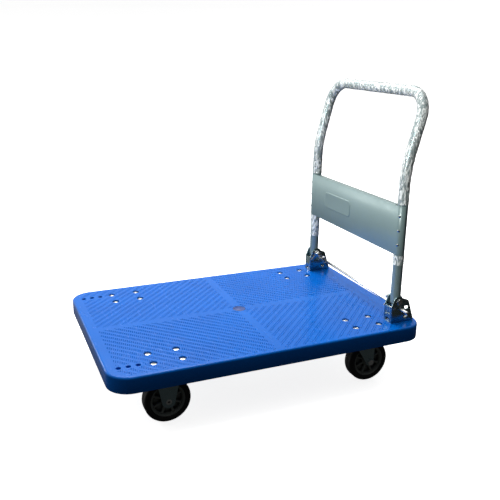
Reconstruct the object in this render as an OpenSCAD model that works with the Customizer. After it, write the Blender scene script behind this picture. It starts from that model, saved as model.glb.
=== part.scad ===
// Folding platform cart: ribbed plastic deck, two rigid and two swivel casters,
// and a bent tube handle that folds down over the deck.
// Origin: on the floor under the middle of the deck. +X is the handle end, +Z is up.
// "left" is the -Y side and "right" the +Y side, as seen by someone pushing the cart.

/* [Deck] */
// Length of the deck along X
deck_l = 904; // [860:1:940]
// Width of the deck along Y
deck_w = 610; // [600:1:640]
// Height of the load surface above the floor
deck_top = 183; // [181:1:190]
// Depth of the skirt round the deck
deck_h = 44; // [40:1:46]
// Plan radius of the deck corners
corner_r = 60; // [40:1:80]
// Radius of the rim round the load surface
edge_r = 6; // [3:1:8]
// Thickness of the skirt
wall_t = 4; // [3:0.5:6]
// Thickness of the load surface
top_t = 5; // [4:0.5:8]
// Thickness of the ribs under the deck
rib_t = 3; // [2:0.5:5]
// Spacing of the ribs under the deck
rib_pitch = 75; // [70:1:80]

/* [Corner holes] */
// Diameter of the accessory holes at the front corners
corner_hole_d = 13; // [8:0.5:14]
// Spacing of the three holes in a row
row_pitch = 25; // [24:0.5:26]

/* [Casters] */
// Distance of each caster from the middle of the deck, along X
caster_x = 293; // [285:1:298]
// Distance of each caster from the middle of the deck, along Y
caster_y = 220; // [215:1:225]
// Wheel diameter
wheel_d = 125; // [120:1:126]
// Tread width
wheel_w = 36; // [30:1:38]
// Bolt spacing on the caster plate, along X
bolt_sx = 76; // [75:1:84]
// Bolt spacing on the caster plate, along Y
bolt_sy = 58; // [56:1:64]
// Offset of a swivel wheel behind its kingpin
trail = 20; // [15:1:22]

/* [Handle] */
// Outside diameter of the handle tube
tube_d = 29; // [27:0.5:29]
// Wall of the handle tube
tube_t = 1.5; // [1:0.25:2.5]
// Distance of each upright from the middle of the deck, along Y
handle_y = 245; // [240:1:250]
// Place of the handle pivot along X
pivot_x = 383; // [380:1:385]
// Height of the handle pivot above the deck
pivot_h = 64; // [63:1:70]
// Height of the top bar's axis above the deck
grip_h = 642; // [600:1:700]
// Backward slope of the handle above its bend
bend_a = 15; // [10:1:18]
// Radius of the gentle bend, at the tube's axis
bend_r = 387; // [300:1:400]
// Radius of the two top corners, at the tube's axis
top_r = 70; // [55:1:90]

/* [Panel] */
// Height of the panel's lower edge above the deck
panel_lo = 202; // [195:1:215]
// Height of the panel's upper edge above the deck
panel_hi = 341; // [330:1:350]
// Sheet thickness of the panel
panel_t = 1.2; // [0.8:0.1:1.6]

/* [Hinge brackets] */
// Outside width of a hinge bracket, along Y
bracket_w = 36; // [36:0.5:40]
// Sheet thickness of a hinge bracket
bracket_t = 3; // [2:0.25:3]
// Diameter of the lock rod
rod_d = 9; // [7:0.5:9]
// Travel of the lock rod when it is released
rod_travel = 8; // [5:0.5:8]

/* [Hidden] */
$fn = 48;
eps = 0.01;

blue = "royalblue";
zinc = "silver";
dark = "dimgray";
run_fit = 0.05;                 // radial clearance of every shaft that turns
deck_bottom = deck_top - deck_h;
rib_bottom = deck_bottom + 6;
under_top = deck_top - top_t;
plate_z = 156;                  // where the caster plates seat
plate_t = 3.5;
plate_l = 105;
plate_w = 85;
plate_under = plate_z - plate_t;
pocket_l = plate_l + 8;
pocket_w = plate_w + 8;
bore_floor = deck_top - 6.5;    // floor of the counterbores over the caster bolts
bore_d = 20;
m8_r = 4;
m8_hole_r = 4.5;
m8_af = 13;
m8_head_h = 5.3;
m8_nut_h = 6.5;
m8_washer_t = 1.6;
m10_r = 5;
m10_af = 16;
m10_head_h = 6.4;
m10_nut_h = 8;
m10_washer_t = 1.5;
spring_room = 10.5;             // along each pivot bolt, between the bracket and the washer
plug_d = 38;
plug_seat = 3;
row_x = 393.5;                  // middle hole of each row of three, from the middle of the deck
boss_z = 160;                   // underside of the bosses in the deck
axle_z = wheel_d / 2;
leg_in = 21;                    // inner face of a fork leg, from the middle of the wheel
leg_t = 3.5;
leg_out = leg_in + leg_t;
bush_half = leg_in - 0.5;
crown_top = 142.3;
crown_t = 5;
tube_r = tube_d / 2;
film_r = tube_r + 1.5;
film_gap = 0.12;
panel_gap = 0.1;
heel_r = tube_r + 0.5;
bush_r = 7;                     // sleeves in the tube's ends, on the pivot bolts
side_in = bracket_w / 2 - bracket_t;
side_out = bracket_w / 2;
bracket_x0 = pivot_x - 22;
bracket_x1 = pivot_x + 54;
rod_h = 43.5;                   // height of the lock rod above the deck
rod_x = 395.75;                 // where the rod crosses the middle of the cart
rod_skew = 1.93;                // plan angle of the rod, its right end further back
rod_left = -303;
rod_right = 269;
slot_front = 14;                // ends of the rod's slot, either side of rod_x
slot_back = 13.8 + rod_travel;
stop_x = pivot_x - 13.5;
stop_h = rod_h + 0.5;
stop_r = 2.95;
wire_r = 1.5;
coil_r = 8.5;
coil_pitch = 2.9;
coil_y = handle_y - side_out - 2;
arm_y = coil_y - coil_pitch - 2 * wire_r - 0.4;
arm_gap = 6.6;                  // from the line through pivot and rod to each wire of the arm
// handle shape above the pivot
run_back = deck_l / 2 - film_r - pivot_x - bend_r * (1 - cos(bend_a));
slope_l = run_back / sin(bend_a);
bend_h = grip_h - slope_l * cos(bend_a) - bend_r * sin(bend_a);
wrap_steps = 10;
bend_step = 0.1;
lap = 2;

// ---------- small helpers ----------

// Moves children to both sides of the cart, the right one as given and the left one mirrored.
module both_sides() {
    children();
    mirror([0, 1, 0]) children();
}

// Places children at the four bolt centres of one caster plate.
module plate_pattern() {
    for (x = [-bolt_sx / 2, bolt_sx / 2], y = [-bolt_sy / 2, bolt_sy / 2])
        translate([x, y, 0]) children();
}

// Places children at all four casters.
module at_casters() {
    for (x = [-caster_x, caster_x], y = [-caster_y, caster_y])
        translate([x, y, 0]) children();
}

// Places children at the three holes of one row, along X.
module hole_row() {
    for (i = [-1, 0, 1])
        translate([i * row_pitch, 0, 0]) children();
}

// Places children at both rows of three at one end of the deck, or at both ends.
module at_hole_row(end) {
    for (y = [-handle_y, handle_y])
        translate([end * row_x, y, 0]) hole_row() children();
}

module at_hole_rows() {
    at_hole_row(-1) children();
    at_hole_row(1) children();
}

// A hexagonal prism on the Z axis with the given width across its flats.
module hex(af, h) {
    cylinder(r = af / sqrt(3), h = h, $fn = 6);
}

// Points of a rectangle with round corners, centred on the origin.
function round_rect(l, w, r, steps = 9) = [
    for (q = [0:3], i = [0:steps])
        let (a = q * 90 + i * 90 / steps,
             cx = (q == 0 || q == 3 ? 1 : -1) * (l / 2 - r),
             cy = (q < 2 ? 1 : -1) * (w / 2 - r))
        [cx + r * cos(a), cy + r * sin(a)]
];

module deck_plan(inset) {
    polygon(round_rect(deck_l - 2 * inset, deck_w - 2 * inset, corner_r - inset));
}

// Turns children so that their Z axis runs along -Y.
module along_y() {
    rotate([90, 0, 0]) children();
}

// ---------- deck ----------

module deck_shell() {
    rim_steps = 4;
    difference() {
        hull() {
            translate([0, 0, deck_bottom]) linear_extrude(deck_h - edge_r) deck_plan(0);
            for (i = [1:rim_steps])
                let (a = i * 90 / rim_steps)
                translate([0, 0, deck_top - edge_r * (1 - sin(a)) - eps])
                    linear_extrude(eps) deck_plan(edge_r * (1 - cos(a)));
        }
        translate([0, 0, deck_bottom - 1])
            linear_extrude(deck_h - top_t + 1) deck_plan(wall_t);
    }
}

// The rib grid, cut away where the caster plates seat and round the nuts of each hole row.
module deck_ribs() {
    rib_h = under_top - rib_bottom + eps;
    nut_room = 10;
    difference() {
        union() {
            for (i = [-5:5])
                translate([i * rib_pitch - rib_t / 2, -deck_w / 2 + wall_t / 2, rib_bottom])
                    cube([rib_t, deck_w - wall_t, rib_h]);
            for (i = [-3:3])
                translate([-deck_l / 2 + wall_t / 2, i * rib_pitch - rib_t / 2, rib_bottom])
                    cube([deck_l - wall_t, rib_t, rib_h]);
        }
        at_casters()
            translate([-pocket_l / 2, -pocket_w / 2, 0]) cube([pocket_l, pocket_w, plate_z]);
        at_hole_rows() cylinder(r = nut_room, h = boss_z + 1);
    }
}

// Bosses round the hole rows and the centre plug, and the pads over the caster plates.
module deck_bosses() {
    boss_r = 11;
    centre_boss_r = 24;
    bolt_boss_r = 14;
    pad_t = 4;
    translate([0, 0, boss_z]) {
        at_hole_rows() cylinder(r = boss_r, h = under_top - boss_z + eps);
        cylinder(r = centre_boss_r, h = under_top - boss_z + eps);
    }
    at_casters() {
        translate([-pocket_l / 2, -pocket_w / 2, plate_z]) cube([pocket_l, pocket_w, pad_t]);
        translate([0, 0, plate_z]) plate_pattern()
            cylinder(r = bolt_boss_r, h = under_top - plate_z + eps);
    }
}

module deck() {
    color(blue) difference() {
        union() {
            deck_shell();
            deck_ribs();
            deck_bosses();
        }
        at_casters() plate_pattern() {
            translate([0, 0, bore_floor]) cylinder(d = bore_d, h = deck_h);
            cylinder(r = m8_hole_r, h = deck_top + 1);
        }
        at_hole_row(-1) cylinder(d = corner_hole_d, h = deck_top + 1);
        at_hole_row(1) cylinder(r = m8_hole_r, h = deck_top + 1);
        translate([0, 0, deck_top - plug_seat]) cylinder(d = plug_d + 0.6, h = plug_seat + 1);
        cylinder(d = plug_d / 2 + 0.4, h = deck_top + 1);
    }
}

module centre_plug() {
    head_h = 2.4;
    dish_z = deck_top - 1.4;
    lip = 5;
    color("navy") {
        difference() {
            translate([0, 0, deck_top - plug_seat]) cylinder(d = plug_d, h = head_h);
            translate([0, 0, dish_z]) cylinder(d = plug_d - 2 * lip, h = head_h);
        }
        translate([0, 0, boss_z - plug_seat]) cylinder(d = plug_d / 2, h = deck_top - boss_z);
    }
}

// ---------- hinge brackets ----------

// One cheek plate, standing on the deck, drawn in X and height above the deck: a lobe over the
// pivot, a lower shoulder behind it, a slot for the rod and a teardrop window.
module cheek() {
    lobe_r = 15.5;
    shoulder_r = 13;
    shoulder_x = pivot_x + 24;
    shoulder_h = pivot_h - 9;
    front_h = pivot_h - 12;
    slot_r = rod_d / 2 + 0.4;
    slot_x0 = rod_x - slot_front + slot_r;
    slot_x1 = rod_x + slot_back - slot_r;
    drop_x = pivot_x + 28;
    drop_h = 17;
    drop_r = 7;
    through = bracket_t + 2;
    translate([0, side_out, deck_top]) along_y() difference() {
        union() {
            linear_extrude(bracket_t) polygon([
                [bracket_x0, 0], [bracket_x0, front_h], [pivot_x - lobe_r + 1.5, pivot_h + 6],
                [pivot_x, pivot_h + 2], [shoulder_x, shoulder_h + 2],
                [shoulder_x + shoulder_r - 0.6, shoulder_h + 3], [bracket_x1, 3], [bracket_x1, 0]
            ]);
            translate([pivot_x, pivot_h, 0]) cylinder(r = lobe_r, h = bracket_t);
            translate([shoulder_x, shoulder_h, 0]) cylinder(r = shoulder_r, h = bracket_t);
        }
        translate([pivot_x, pivot_h, -1]) cylinder(r = m10_r + run_fit, h = through);
        translate([stop_x, stop_h, -1]) cylinder(r = stop_r + run_fit, h = through);
        translate([slot_x0, rod_h, -1]) cylinder(r = slot_r, h = through);
        translate([slot_x1, rod_h, -1]) cylinder(r = slot_r, h = through);
        translate([slot_x0, rod_h - slot_r + eps, -1])
            cube([slot_x1 - slot_x0, 2 * slot_r - 2 * eps, through]);
        translate([drop_x, drop_h, -1]) {
            cylinder(r = drop_r, h = through);
            linear_extrude(through)
                polygon([[0.4 - drop_r, -1], [drop_r - 0.4, -1], [0, -drop_r - 4]]);
        }
    }
}

module hinge_bracket() {
    web_h = 48;
    notch_r = 9.5;
    translate([0, handle_y, 0]) difference() {
        union() {
            cheek();
            mirror([0, 1, 0]) cheek();
            translate([bracket_x0, -side_in - eps, deck_top])
                cube([bracket_x1 - bracket_x0 - 1, 2 * side_in + 2 * eps, bracket_t]);
            translate([bracket_x0, -side_in - eps, deck_top])
                cube([bracket_t, 2 * side_in + 2 * eps, web_h]);
        }
        translate([row_x, 0, deck_top - 1]) hole_row() cylinder(r = m8_hole_r, h = bracket_t + 2);
        translate([bracket_x0 - 1, -notch_r, deck_top + bracket_t])
            cube([bracket_t + 2, 2 * notch_r, notch_r]);
    }
}

module hinge_bracket_right() color(zinc) hinge_bracket();
module hinge_bracket_left() color(zinc) mirror([0, 1, 0]) hinge_bracket();

module bracket_bolts() {
    color(zinc) both_sides() translate([row_x, handle_y, 0]) hole_row() {
        translate([0, 0, deck_top + bracket_t]) hex(m8_af, m8_head_h);
        translate([0, 0, boss_z - 10]) cylinder(r = m8_r, h = deck_top + bracket_t - boss_z + 10 + eps);
    }
}

module bracket_nuts() {
    color(zinc) both_sides() translate([row_x, handle_y, boss_z - m8_nut_h]) hole_row()
        difference() {
            hex(m8_af, m8_nut_h);
            translate([0, 0, -1]) cylinder(r = m8_r + run_fit, h = m8_nut_h + 2);
        }
}

// Places children on the right-hand pivot axis, Z along -Y, starting outside the outer cheek.
module at_pivot(y) {
    translate([pivot_x, y, deck_top + pivot_h]) along_y() children();
}

module pivot_bolts() {
    head_y = handle_y + side_out + m10_head_h;
    past_nut = 1;
    shank = bracket_w + spring_room + m10_washer_t + m10_nut_h + past_nut;
    color(zinc) both_sides() {
        at_pivot(head_y) hex(m10_af, m10_head_h);
        at_pivot(head_y - m10_head_h + eps) cylinder(r = m10_r, h = shank);
    }
}

module pivot_washers() {
    color(zinc) both_sides() at_pivot(handle_y - side_out - spring_room) difference() {
        cylinder(r = 2 * m10_r, h = m10_washer_t);
        translate([0, 0, -1]) cylinder(r = m10_r + run_fit, h = m10_washer_t + 2);
    }
}

module pivot_nuts() {
    color(zinc) both_sides() at_pivot(handle_y - side_out - spring_room - m10_washer_t) difference() {
        hex(m10_af, m10_nut_h);
        translate([0, 0, -1]) cylinder(r = m10_r + run_fit, h = m10_nut_h + 2);
    }
}

// Riveted pins through both cheeks. Each runs on inward, where the spring's tail bears on it.
module stop_pins() {
    head_r = 4.2;
    head_t = 1.5;
    inward = 6;
    color(zinc) both_sides()
        translate([stop_x, handle_y + side_out + head_t, deck_top + stop_h]) along_y() {
            cylinder(r = stop_r, h = bracket_w + 2 * head_t + inward);
            cylinder(r = head_r, h = head_t);
            translate([0, 0, bracket_w + head_t]) cylinder(r = head_r, h = head_t);
        }
}

// ---------- lock rod and its springs ----------

module wire_ring() {
    rotate_extrude() translate([coil_r, 0]) circle(r = wire_r);
}

// Two turns of wire round each pivot bolt, with the tail that bears on the stop pin.
module spring_coils() {
    tail_a = 225.1;
    color(zinc) both_sides() {
        at_pivot(coil_y) wire_ring();
        at_pivot(coil_y - coil_pitch) {
            wire_ring();
            rotate([0, 0, tail_a]) translate([coil_r, 0, 0]) rotate([0, 90, 0])
                cylinder(r = wire_r - 0.1, h = 22);
        }
    }
}

// The moving arm of a spring: its own turn of wire and a long eye that holds the rod.
// reach is the plan distance from the pivot to the rod, along X.
module spring_arm(reach) {
    drop = pivot_h - rod_h;
    past_rod = 14;
    arm_l = sqrt(reach * reach + drop * drop) + past_rod;
    start = 6;
    at_pivot(arm_y) rotate([0, 0, -atan2(drop, reach)]) {
        wire_ring();
        for (s = [-1, 1])
            translate([start, s * arm_gap, 0]) rotate([0, 90, 0]) cylinder(r = wire_r, h = arm_l - start);
        translate([arm_l, 0, 0]) rotate([0, 0, -90])
            rotate_extrude(angle = 180) translate([arm_gap, 0]) circle(r = wire_r);
    }
}

// Distance along X from the pivot to the rod, at the given Y.
function rod_reach(y) = rod_x + y * tan(rod_skew) - pivot_x;

module spring_arm_right() color(zinc) spring_arm(rod_reach(arm_y));
module spring_arm_left() color(zinc) mirror([0, 1, 0]) spring_arm(rod_reach(-arm_y));

// Places children on the lock rod's axis, Z along the rod towards -Y.
module at_rod(y) {
    translate([rod_x, 0, deck_top + rod_h]) rotate([0, 0, -rod_skew])
        translate([0, y, 0]) along_y() children();
}

module lock_rod() {
    tip = 2;
    color(zinc) {
        at_rod(rod_right - tip) cylinder(d = rod_d, h = rod_right - rod_left - 2 * tip);
        at_rod(rod_right) cylinder(r1 = rod_d / 2 - tip, r2 = rod_d / 2, h = tip);
        at_rod(rod_left + tip) cylinder(r1 = rod_d / 2, r2 = rod_d / 2 - tip, h = tip);
    }
}

// Push-on rings, one outside the right-hand bracket and one inside the left-hand one.
module rod_clips() {
    clip_t = 1.5;
    clip_w = 3.5;
    inside_left = -handle_y + side_out + 16;
    color(dark) for (y = [rod_right - 2.1, inside_left])
        at_rod(y) difference() {
            cylinder(r = rod_d / 2 + clip_w, h = clip_t);
            translate([0, 0, -1]) cylinder(r = rod_d / 2 + run_fit, h = clip_t + 2);
        }
}

// ---------- handle ----------

// Puts children at the upper end of the gentle bend, Z up the slope.
module at_bend() {
    translate([pivot_x + bend_r, 0, deck_top + bend_h]) rotate([0, bend_a, 0])
        translate([-bend_r, 0, 0]) children();
}

// One upright of radius r from height h0 above the deck. Each bend is a hair fatter than the
// straights that run into it, so that their surfaces cross cleanly.
module handle_side(r, h0) {
    translate([pivot_x, 0, deck_top + h0]) cylinder(r = r, h = bend_h - h0 + lap);
    translate([pivot_x + bend_r, 0, deck_top + bend_h]) rotate([90, 0, 180])
        rotate_extrude(angle = bend_a) translate([bend_r, 0]) circle(r = r + bend_step);
    at_bend() translate([0, 0, -lap]) cylinder(r = r, h = slope_l - top_r + 2 * lap);
}

// The top bar and its two corners.
module handle_top(r) {
    span = 2 * (handle_y - top_r);
    at_bend() translate([0, 0, slope_l]) {
        translate([0, span / 2 + lap, 0]) along_y() cylinder(r = r, h = span + 2 * lap);
        both_sides() translate([0, span / 2, -top_r]) rotate([90, 0, 90])
            rotate_extrude(angle = 90) translate([top_r, 0]) circle(r = r + bend_step);
    }
}

// The whole U at radius r, both ends at height h0 above the deck.
module handle_path(r, h0) {
    both_sides() translate([0, handle_y, 0]) handle_side(r, h0);
    handle_top(r);
}

// Rounded lower end of an upright of radius r, about the pivot.
module heel(r) {
    intersection() {
        translate([pivot_x, 0, deck_top + pivot_h - heel_r - 1]) cylinder(r = r, h = heel_r + 3);
        translate([pivot_x, 50, deck_top + pivot_h]) along_y() cylinder(r = heel_r, h = 100);
    }
}

module bush_bore(r) {
    both_sides() at_pivot(handle_y + 50) cylinder(r = r, h = 100);
}

module handle_tube() {
    color("lightsteelblue") difference() {
        union() {
            handle_path(tube_r, pivot_h);
            both_sides() translate([0, handle_y, 0]) heel(tube_r);
        }
        handle_path(tube_r - tube_t, pivot_h - 40);
        bush_bore(bush_r + run_fit);
    }
}

module heel_plugs() {
    plug_r = tube_r - tube_t - run_fit;
    plug_h = 26;
    color(dark) difference() {
        both_sides() translate([0, handle_y, 0]) {
            heel(plug_r);
            translate([pivot_x, 0, deck_top + pivot_h - eps]) cylinder(r = plug_r, h = plug_h);
        }
        bush_bore(bush_r + run_fit);
    }
}

module pivot_bushes() {
    half = side_in - 0.2;
    color("goldenrod") both_sides() at_pivot(handle_y + half) difference() {
        cylinder(r = bush_r, h = 2 * half);
        translate([0, 0, -1]) cylinder(r = m10_r + run_fit, h = 2 * half + 2);
    }
}

// Plan outline of the panel: flat across the front of both uprights, then a quarter turn
// round the outer side of each.
function wrap_arc(r, s, order) = [
    for (k = order)
        let (a = k * 90 / wrap_steps)
        [pivot_x - r * cos(a), s * (handle_y + r * sin(a))]
];
function panel_outline(r_in, r_out) = concat(
    wrap_arc(r_out, 1, [0:wrap_steps]),
    wrap_arc(r_in, 1, [wrap_steps:-1:0]),
    wrap_arc(r_in, -1, [0:wrap_steps]),
    wrap_arc(r_out, -1, [wrap_steps:-1:0])
);

module handle_panel() {
    r_in = tube_r + panel_gap;
    r_out = r_in + panel_t;
    front_x = pivot_x - r_out;
    flange_y = handle_y - film_r - 1.5;
    flange_d = 18;
    lip_h = 6;
    field_l = 156;
    field_w = 52;
    field_r = 12;
    field_out = 1.8;
    field_y = 78;
    field_h = (panel_lo + panel_hi) / 2 + 2;
    color("slategray") {
        translate([0, 0, deck_top + panel_lo])
            linear_extrude(panel_hi - panel_lo) polygon(panel_outline(r_in, r_out));
        for (z = [panel_lo, panel_hi - panel_t])
            translate([front_x + panel_t / 2, -flange_y, deck_top + z])
                cube([flange_d, 2 * flange_y, panel_t]);
        translate([front_x + flange_d, -flange_y, deck_top + panel_hi - lip_h])
            cube([panel_t, 2 * flange_y, lip_h]);
        translate([front_x + panel_t / 2, field_y, deck_top + field_h])
            rotate([90, 0, -90]) linear_extrude(panel_t / 2 + field_out)
                polygon(round_rect(field_l, field_w, field_r, 5));
    }
}

module panel_rivets() {
    rivet_a = 30;
    rivet_gap = 41;
    rivet_r = 2;
    head_r = 3.6;
    head_h = 1.6;
    inside = 2;
    seat = tube_r + panel_gap + panel_t;
    mid = (panel_lo + panel_hi) / 2;
    color(zinc) both_sides() for (h = [mid - rivet_gap, mid, mid + rivet_gap])
        translate([pivot_x, handle_y, deck_top + h]) rotate([0, 0, -rivet_a])
            rotate([0, -90, 0]) {
                translate([0, 0, tube_r - tube_t - inside])
                    cylinder(r = rivet_r, h = seat + inside + 1 - tube_r + tube_t);
                translate([0, 0, seat]) cylinder(r1 = head_r, r2 = head_r - 1.2, h = head_h);
            }
}

// Clear protective film over the tube, above the panel and over the top bar.
module film_upper() {
    h = panel_hi + 4;
    color([0.9, 0.95, 1, 0.4]) difference() {
        handle_path(film_r, h);
        handle_path(tube_r + film_gap, h - 5);
    }
}

// The same film below the panel; the right-hand piece hangs lower.
module film_lower() {
    top = panel_lo - 2;
    color([0.9, 0.95, 1, 0.4]) for (side = [[-1, 172], [1, 126]])
        translate([pivot_x, side[0] * handle_y, deck_top + side[1]]) difference() {
            cylinder(r = film_r, h = top - side[1]);
            translate([0, 0, -1]) cylinder(r = tube_r + film_gap, h = top - side[1] + 2);
        }
}

// ---------- caster hardware ----------

// A low round head with a hexagonal socket.
module button_head() {
    head_r = 8.5;
    head_h = 3;
    socket_af = 5;
    difference() {
        union() {
            cylinder(r = head_r, h = head_h / 2);
            translate([0, 0, head_h / 2]) cylinder(r1 = head_r, r2 = head_r - 2.5, h = head_h / 2);
        }
        translate([0, 0, head_h / 3]) hex(socket_af, head_h);
    }
}

module caster_bolts() {
    bolt_end = plate_under - m8_nut_h - 2;
    color(zinc) at_casters() plate_pattern() {
        translate([0, 0, bore_floor + m8_washer_t]) button_head();
        translate([0, 0, bolt_end])
            cylinder(r = m8_r, h = bore_floor + m8_washer_t - bolt_end + eps);
    }
}

module caster_washers() {
    color(zinc) at_casters() plate_pattern() translate([0, 0, bore_floor]) difference() {
        cylinder(r = 9, h = m8_washer_t);
        translate([0, 0, -1]) cylinder(r = m8_r + 0.2, h = m8_washer_t + 2);
    }
}

module caster_nuts() {
    color(zinc) at_casters() plate_pattern() translate([0, 0, plate_under - m8_nut_h])
        difference() {
            hex(m8_af, m8_nut_h);
            translate([0, 0, -1]) cylinder(r = m8_r + run_fit, h = m8_nut_h + 2);
        }
}

module top_plate() {
    difference() {
        translate([0, 0, plate_under]) linear_extrude(plate_t)
            polygon(round_rect(plate_l, plate_w, 8, 4));
        plate_pattern() cylinder(r = m8_hole_r, h = plate_z + 1);
    }
}

// Both legs of a fork, from an outline in X and Z.
module fork_legs(outline, axle_x, foot_r) {
    for (s = [-1, 1])
        translate([0, s * (leg_in + leg_t / 2) + leg_t / 2, 0]) along_y() difference() {
            union() {
                linear_extrude(leg_t) polygon(outline);
                translate([axle_x, axle_z, 0]) cylinder(r = foot_r, h = leg_t);
            }
            translate([axle_x, axle_z, -1]) cylinder(r = m10_r + run_fit, h = leg_t + 2);
        }
}

module rigid_fork() {
    foot = 18;
    color(zinc) {
        top_plate();
        fork_legs([
            [-28, plate_under + eps], [-28, axle_z + 46], [-17.6, axle_z + 3],
            [17.6, axle_z + 3], [28, axle_z + 46], [28, plate_under + eps]
        ], 0, foot);
    }
}

module rigid_fork_left() translate([-caster_x, -caster_y, 0]) rigid_fork();
module rigid_fork_right() translate([-caster_x, caster_y, 0]) rigid_fork();

// Hollow riveted axles of the two rigid casters.
module rigid_axles() {
    half = leg_out + 2.5;
    color(dark) for (y = [-caster_y, caster_y])
        translate([-caster_x, y + half, axle_z]) along_y() difference() {
            union() {
                cylinder(r = m10_r, h = 2 * half);
                cylinder(r = 8, h = 2.4);
                translate([0, 0, 2 * half - 2.4]) cylinder(r = 8, h = 2.4);
            }
            translate([0, 0, -1]) cylinder(r = 2.6, h = 2 * half + 2);
        }
}

module swivel_plate() {
    color(zinc) difference() {
        union() {
            top_plate();
            translate([0, 0, 148.5]) cylinder(r = 38, h = plate_under - 148.5 + eps);
            difference() {
                translate([0, 0, 143]) cylinder(r = 38, h = 6);
                translate([0, 0, 142]) cylinder(r = 36, h = 8);
            }
        }
        cylinder(r = 6 + run_fit, h = plate_z + 1);
    }
}

module swivel_plate_left() translate([caster_x, -caster_y, 0]) swivel_plate();
module swivel_plate_right() translate([caster_x, caster_y, 0]) swivel_plate();

module swivel_balls() {
    ball_r = 3;
    color(dark) for (y = [-caster_y, caster_y], i = [0:15])
        translate([caster_x, y, crown_top + 0.1 + ball_r]) rotate([0, 0, i * 22.5])
            translate([30, 0, 0]) sphere(r = ball_r);
}

module kingpins() {
    under = crown_top - crown_t - 0.1;
    color(zinc) for (y = [-caster_y, caster_y]) translate([caster_x, y, 0]) {
        translate([0, 0, under - 8]) cylinder(r = 6, h = plate_z - under + 8 - 0.5);
        translate([0, 0, under - 6]) hex(18, 6);
    }
}

// A swivel fork with its axle behind the kingpin, at the given side.
module swivel_fork() {
    foot = 12.5;
    color(zinc) {
        difference() {
            union() {
                translate([-34, -leg_out, crown_top - crown_t]) cube([68, 2 * leg_out, crown_t]);
                translate([0, 0, crown_top - crown_t]) cylinder(r = 35, h = crown_t);
            }
            cylinder(r = 6 + run_fit, h = crown_top + 1);
        }
        fork_legs([
            [-34, crown_top - eps], [-34, crown_top - 14], [trail - 38, axle_z + 36],
            [trail - 12, axle_z - 3], [trail + 12.2, axle_z + 2], [34, crown_top - eps]
        ], trail, foot);
    }
}

module swivel_fork_left() translate([caster_x, -caster_y, 0]) swivel_fork();
module swivel_fork_right() translate([caster_x, caster_y, 0]) swivel_fork();

module swivel_axle(y) {
    color(zinc) translate([caster_x + trail, y - leg_out - m10_head_h, axle_z]) rotate([-90, 0, 0]) {
        hex(m10_af, m10_head_h);
        translate([0, 0, m10_head_h - eps]) cylinder(r = m10_r, h = 2 * leg_out + 11);
    }
}

module axle_nut(y) {
    nut_h = 8;
    color(zinc) translate([caster_x + trail, y + leg_out + 0.01, axle_z]) rotate([-90, 0, 0])
        difference() {
            hex(m10_af, nut_h);
            translate([0, 0, -1]) cylinder(r = m10_r + run_fit, h = nut_h + 2);
        }
}

module swivel_axle_left() swivel_axle(-caster_y);
module swivel_axle_right() swivel_axle(caster_y);
module axle_nut_left() axle_nut(-caster_y);
module axle_nut_right() axle_nut(caster_y);

// ---------- wheels ----------

rim_r = 47;
hub_r = 15;
bush_out_r = 8;
spokes = 8;

module tyre(x, y) {
    half = wheel_w / 2;
    shoulder = 7;
    color("black") translate([x, y, axle_z]) along_y() rotate_extrude(convexity = 4)
        polygon(concat(
            [[rim_r, -half + 2], [rim_r + 3, -half]],
            [for (i = [0:5]) let (a = -90 + i * 18)
                [axle_z - shoulder + shoulder * cos(a), -half + shoulder + shoulder * sin(a)]],
            [for (i = [0:5]) let (a = i * 18)
                [axle_z - shoulder + shoulder * cos(a), half - shoulder + shoulder * sin(a)]],
            [[rim_r + 3, half], [rim_r, half - 2]]
        ));
}

// The moulded wheel centre: rim, hub, spokes, and a thin web that closes the windows.
module core(x, y) {
    rim_half = wheel_w / 2 - 2;
    rim_t = 6;
    hub_half = bush_half - 1;
    spoke_w = 6;
    spoke_half = 11;
    web_half = 2;
    color([0.16, 0.17, 0.18]) translate([x, y, axle_z]) along_y() {
        difference() {
            translate([0, 0, -rim_half]) cylinder(r = rim_r - run_fit, h = 2 * rim_half);
            translate([0, 0, -rim_half - 1]) cylinder(r = rim_r - rim_t, h = 2 * rim_half + 2);
        }
        difference() {
            union() {
                translate([0, 0, -hub_half]) cylinder(r = hub_r, h = 2 * hub_half);
                translate([0, 0, -web_half]) cylinder(r = rim_r - rim_t / 2, h = 2 * web_half);
                for (i = [0:spokes - 1]) rotate([0, 0, (i + 0.5) * 360 / spokes])
                    translate([hub_r - 2, -spoke_w / 2, -spoke_half])
                        cube([rim_r - hub_r - rim_t + 4, spoke_w, 2 * spoke_half]);
            }
            translate([0, 0, -bush_half]) cylinder(r = bush_out_r + run_fit, h = 2 * bush_half);
        }
    }
}

module bush(x, y) {
    color("goldenrod") translate([x, y + bush_half, axle_z]) along_y() difference() {
        cylinder(r = bush_out_r, h = 2 * bush_half);
        translate([0, 0, -1]) cylinder(r = m10_r + run_fit, h = 2 * bush_half + 2);
    }
}

swivel_x = caster_x + trail;
module tyre_rigid_left() tyre(-caster_x, -caster_y);
module core_rigid_left() core(-caster_x, -caster_y);
module bush_rigid_left() bush(-caster_x, -caster_y);
module tyre_rigid_right() tyre(-caster_x, caster_y);
module core_rigid_right() core(-caster_x, caster_y);
module bush_rigid_right() bush(-caster_x, caster_y);
module tyre_swivel_left() tyre(swivel_x, -caster_y);
module core_swivel_left() core(swivel_x, -caster_y);
module bush_swivel_left() bush(swivel_x, -caster_y);
module tyre_swivel_right() tyre(swivel_x, caster_y);
module core_swivel_right() core(swivel_x, caster_y);
module bush_swivel_right() bush(swivel_x, caster_y);

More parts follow.
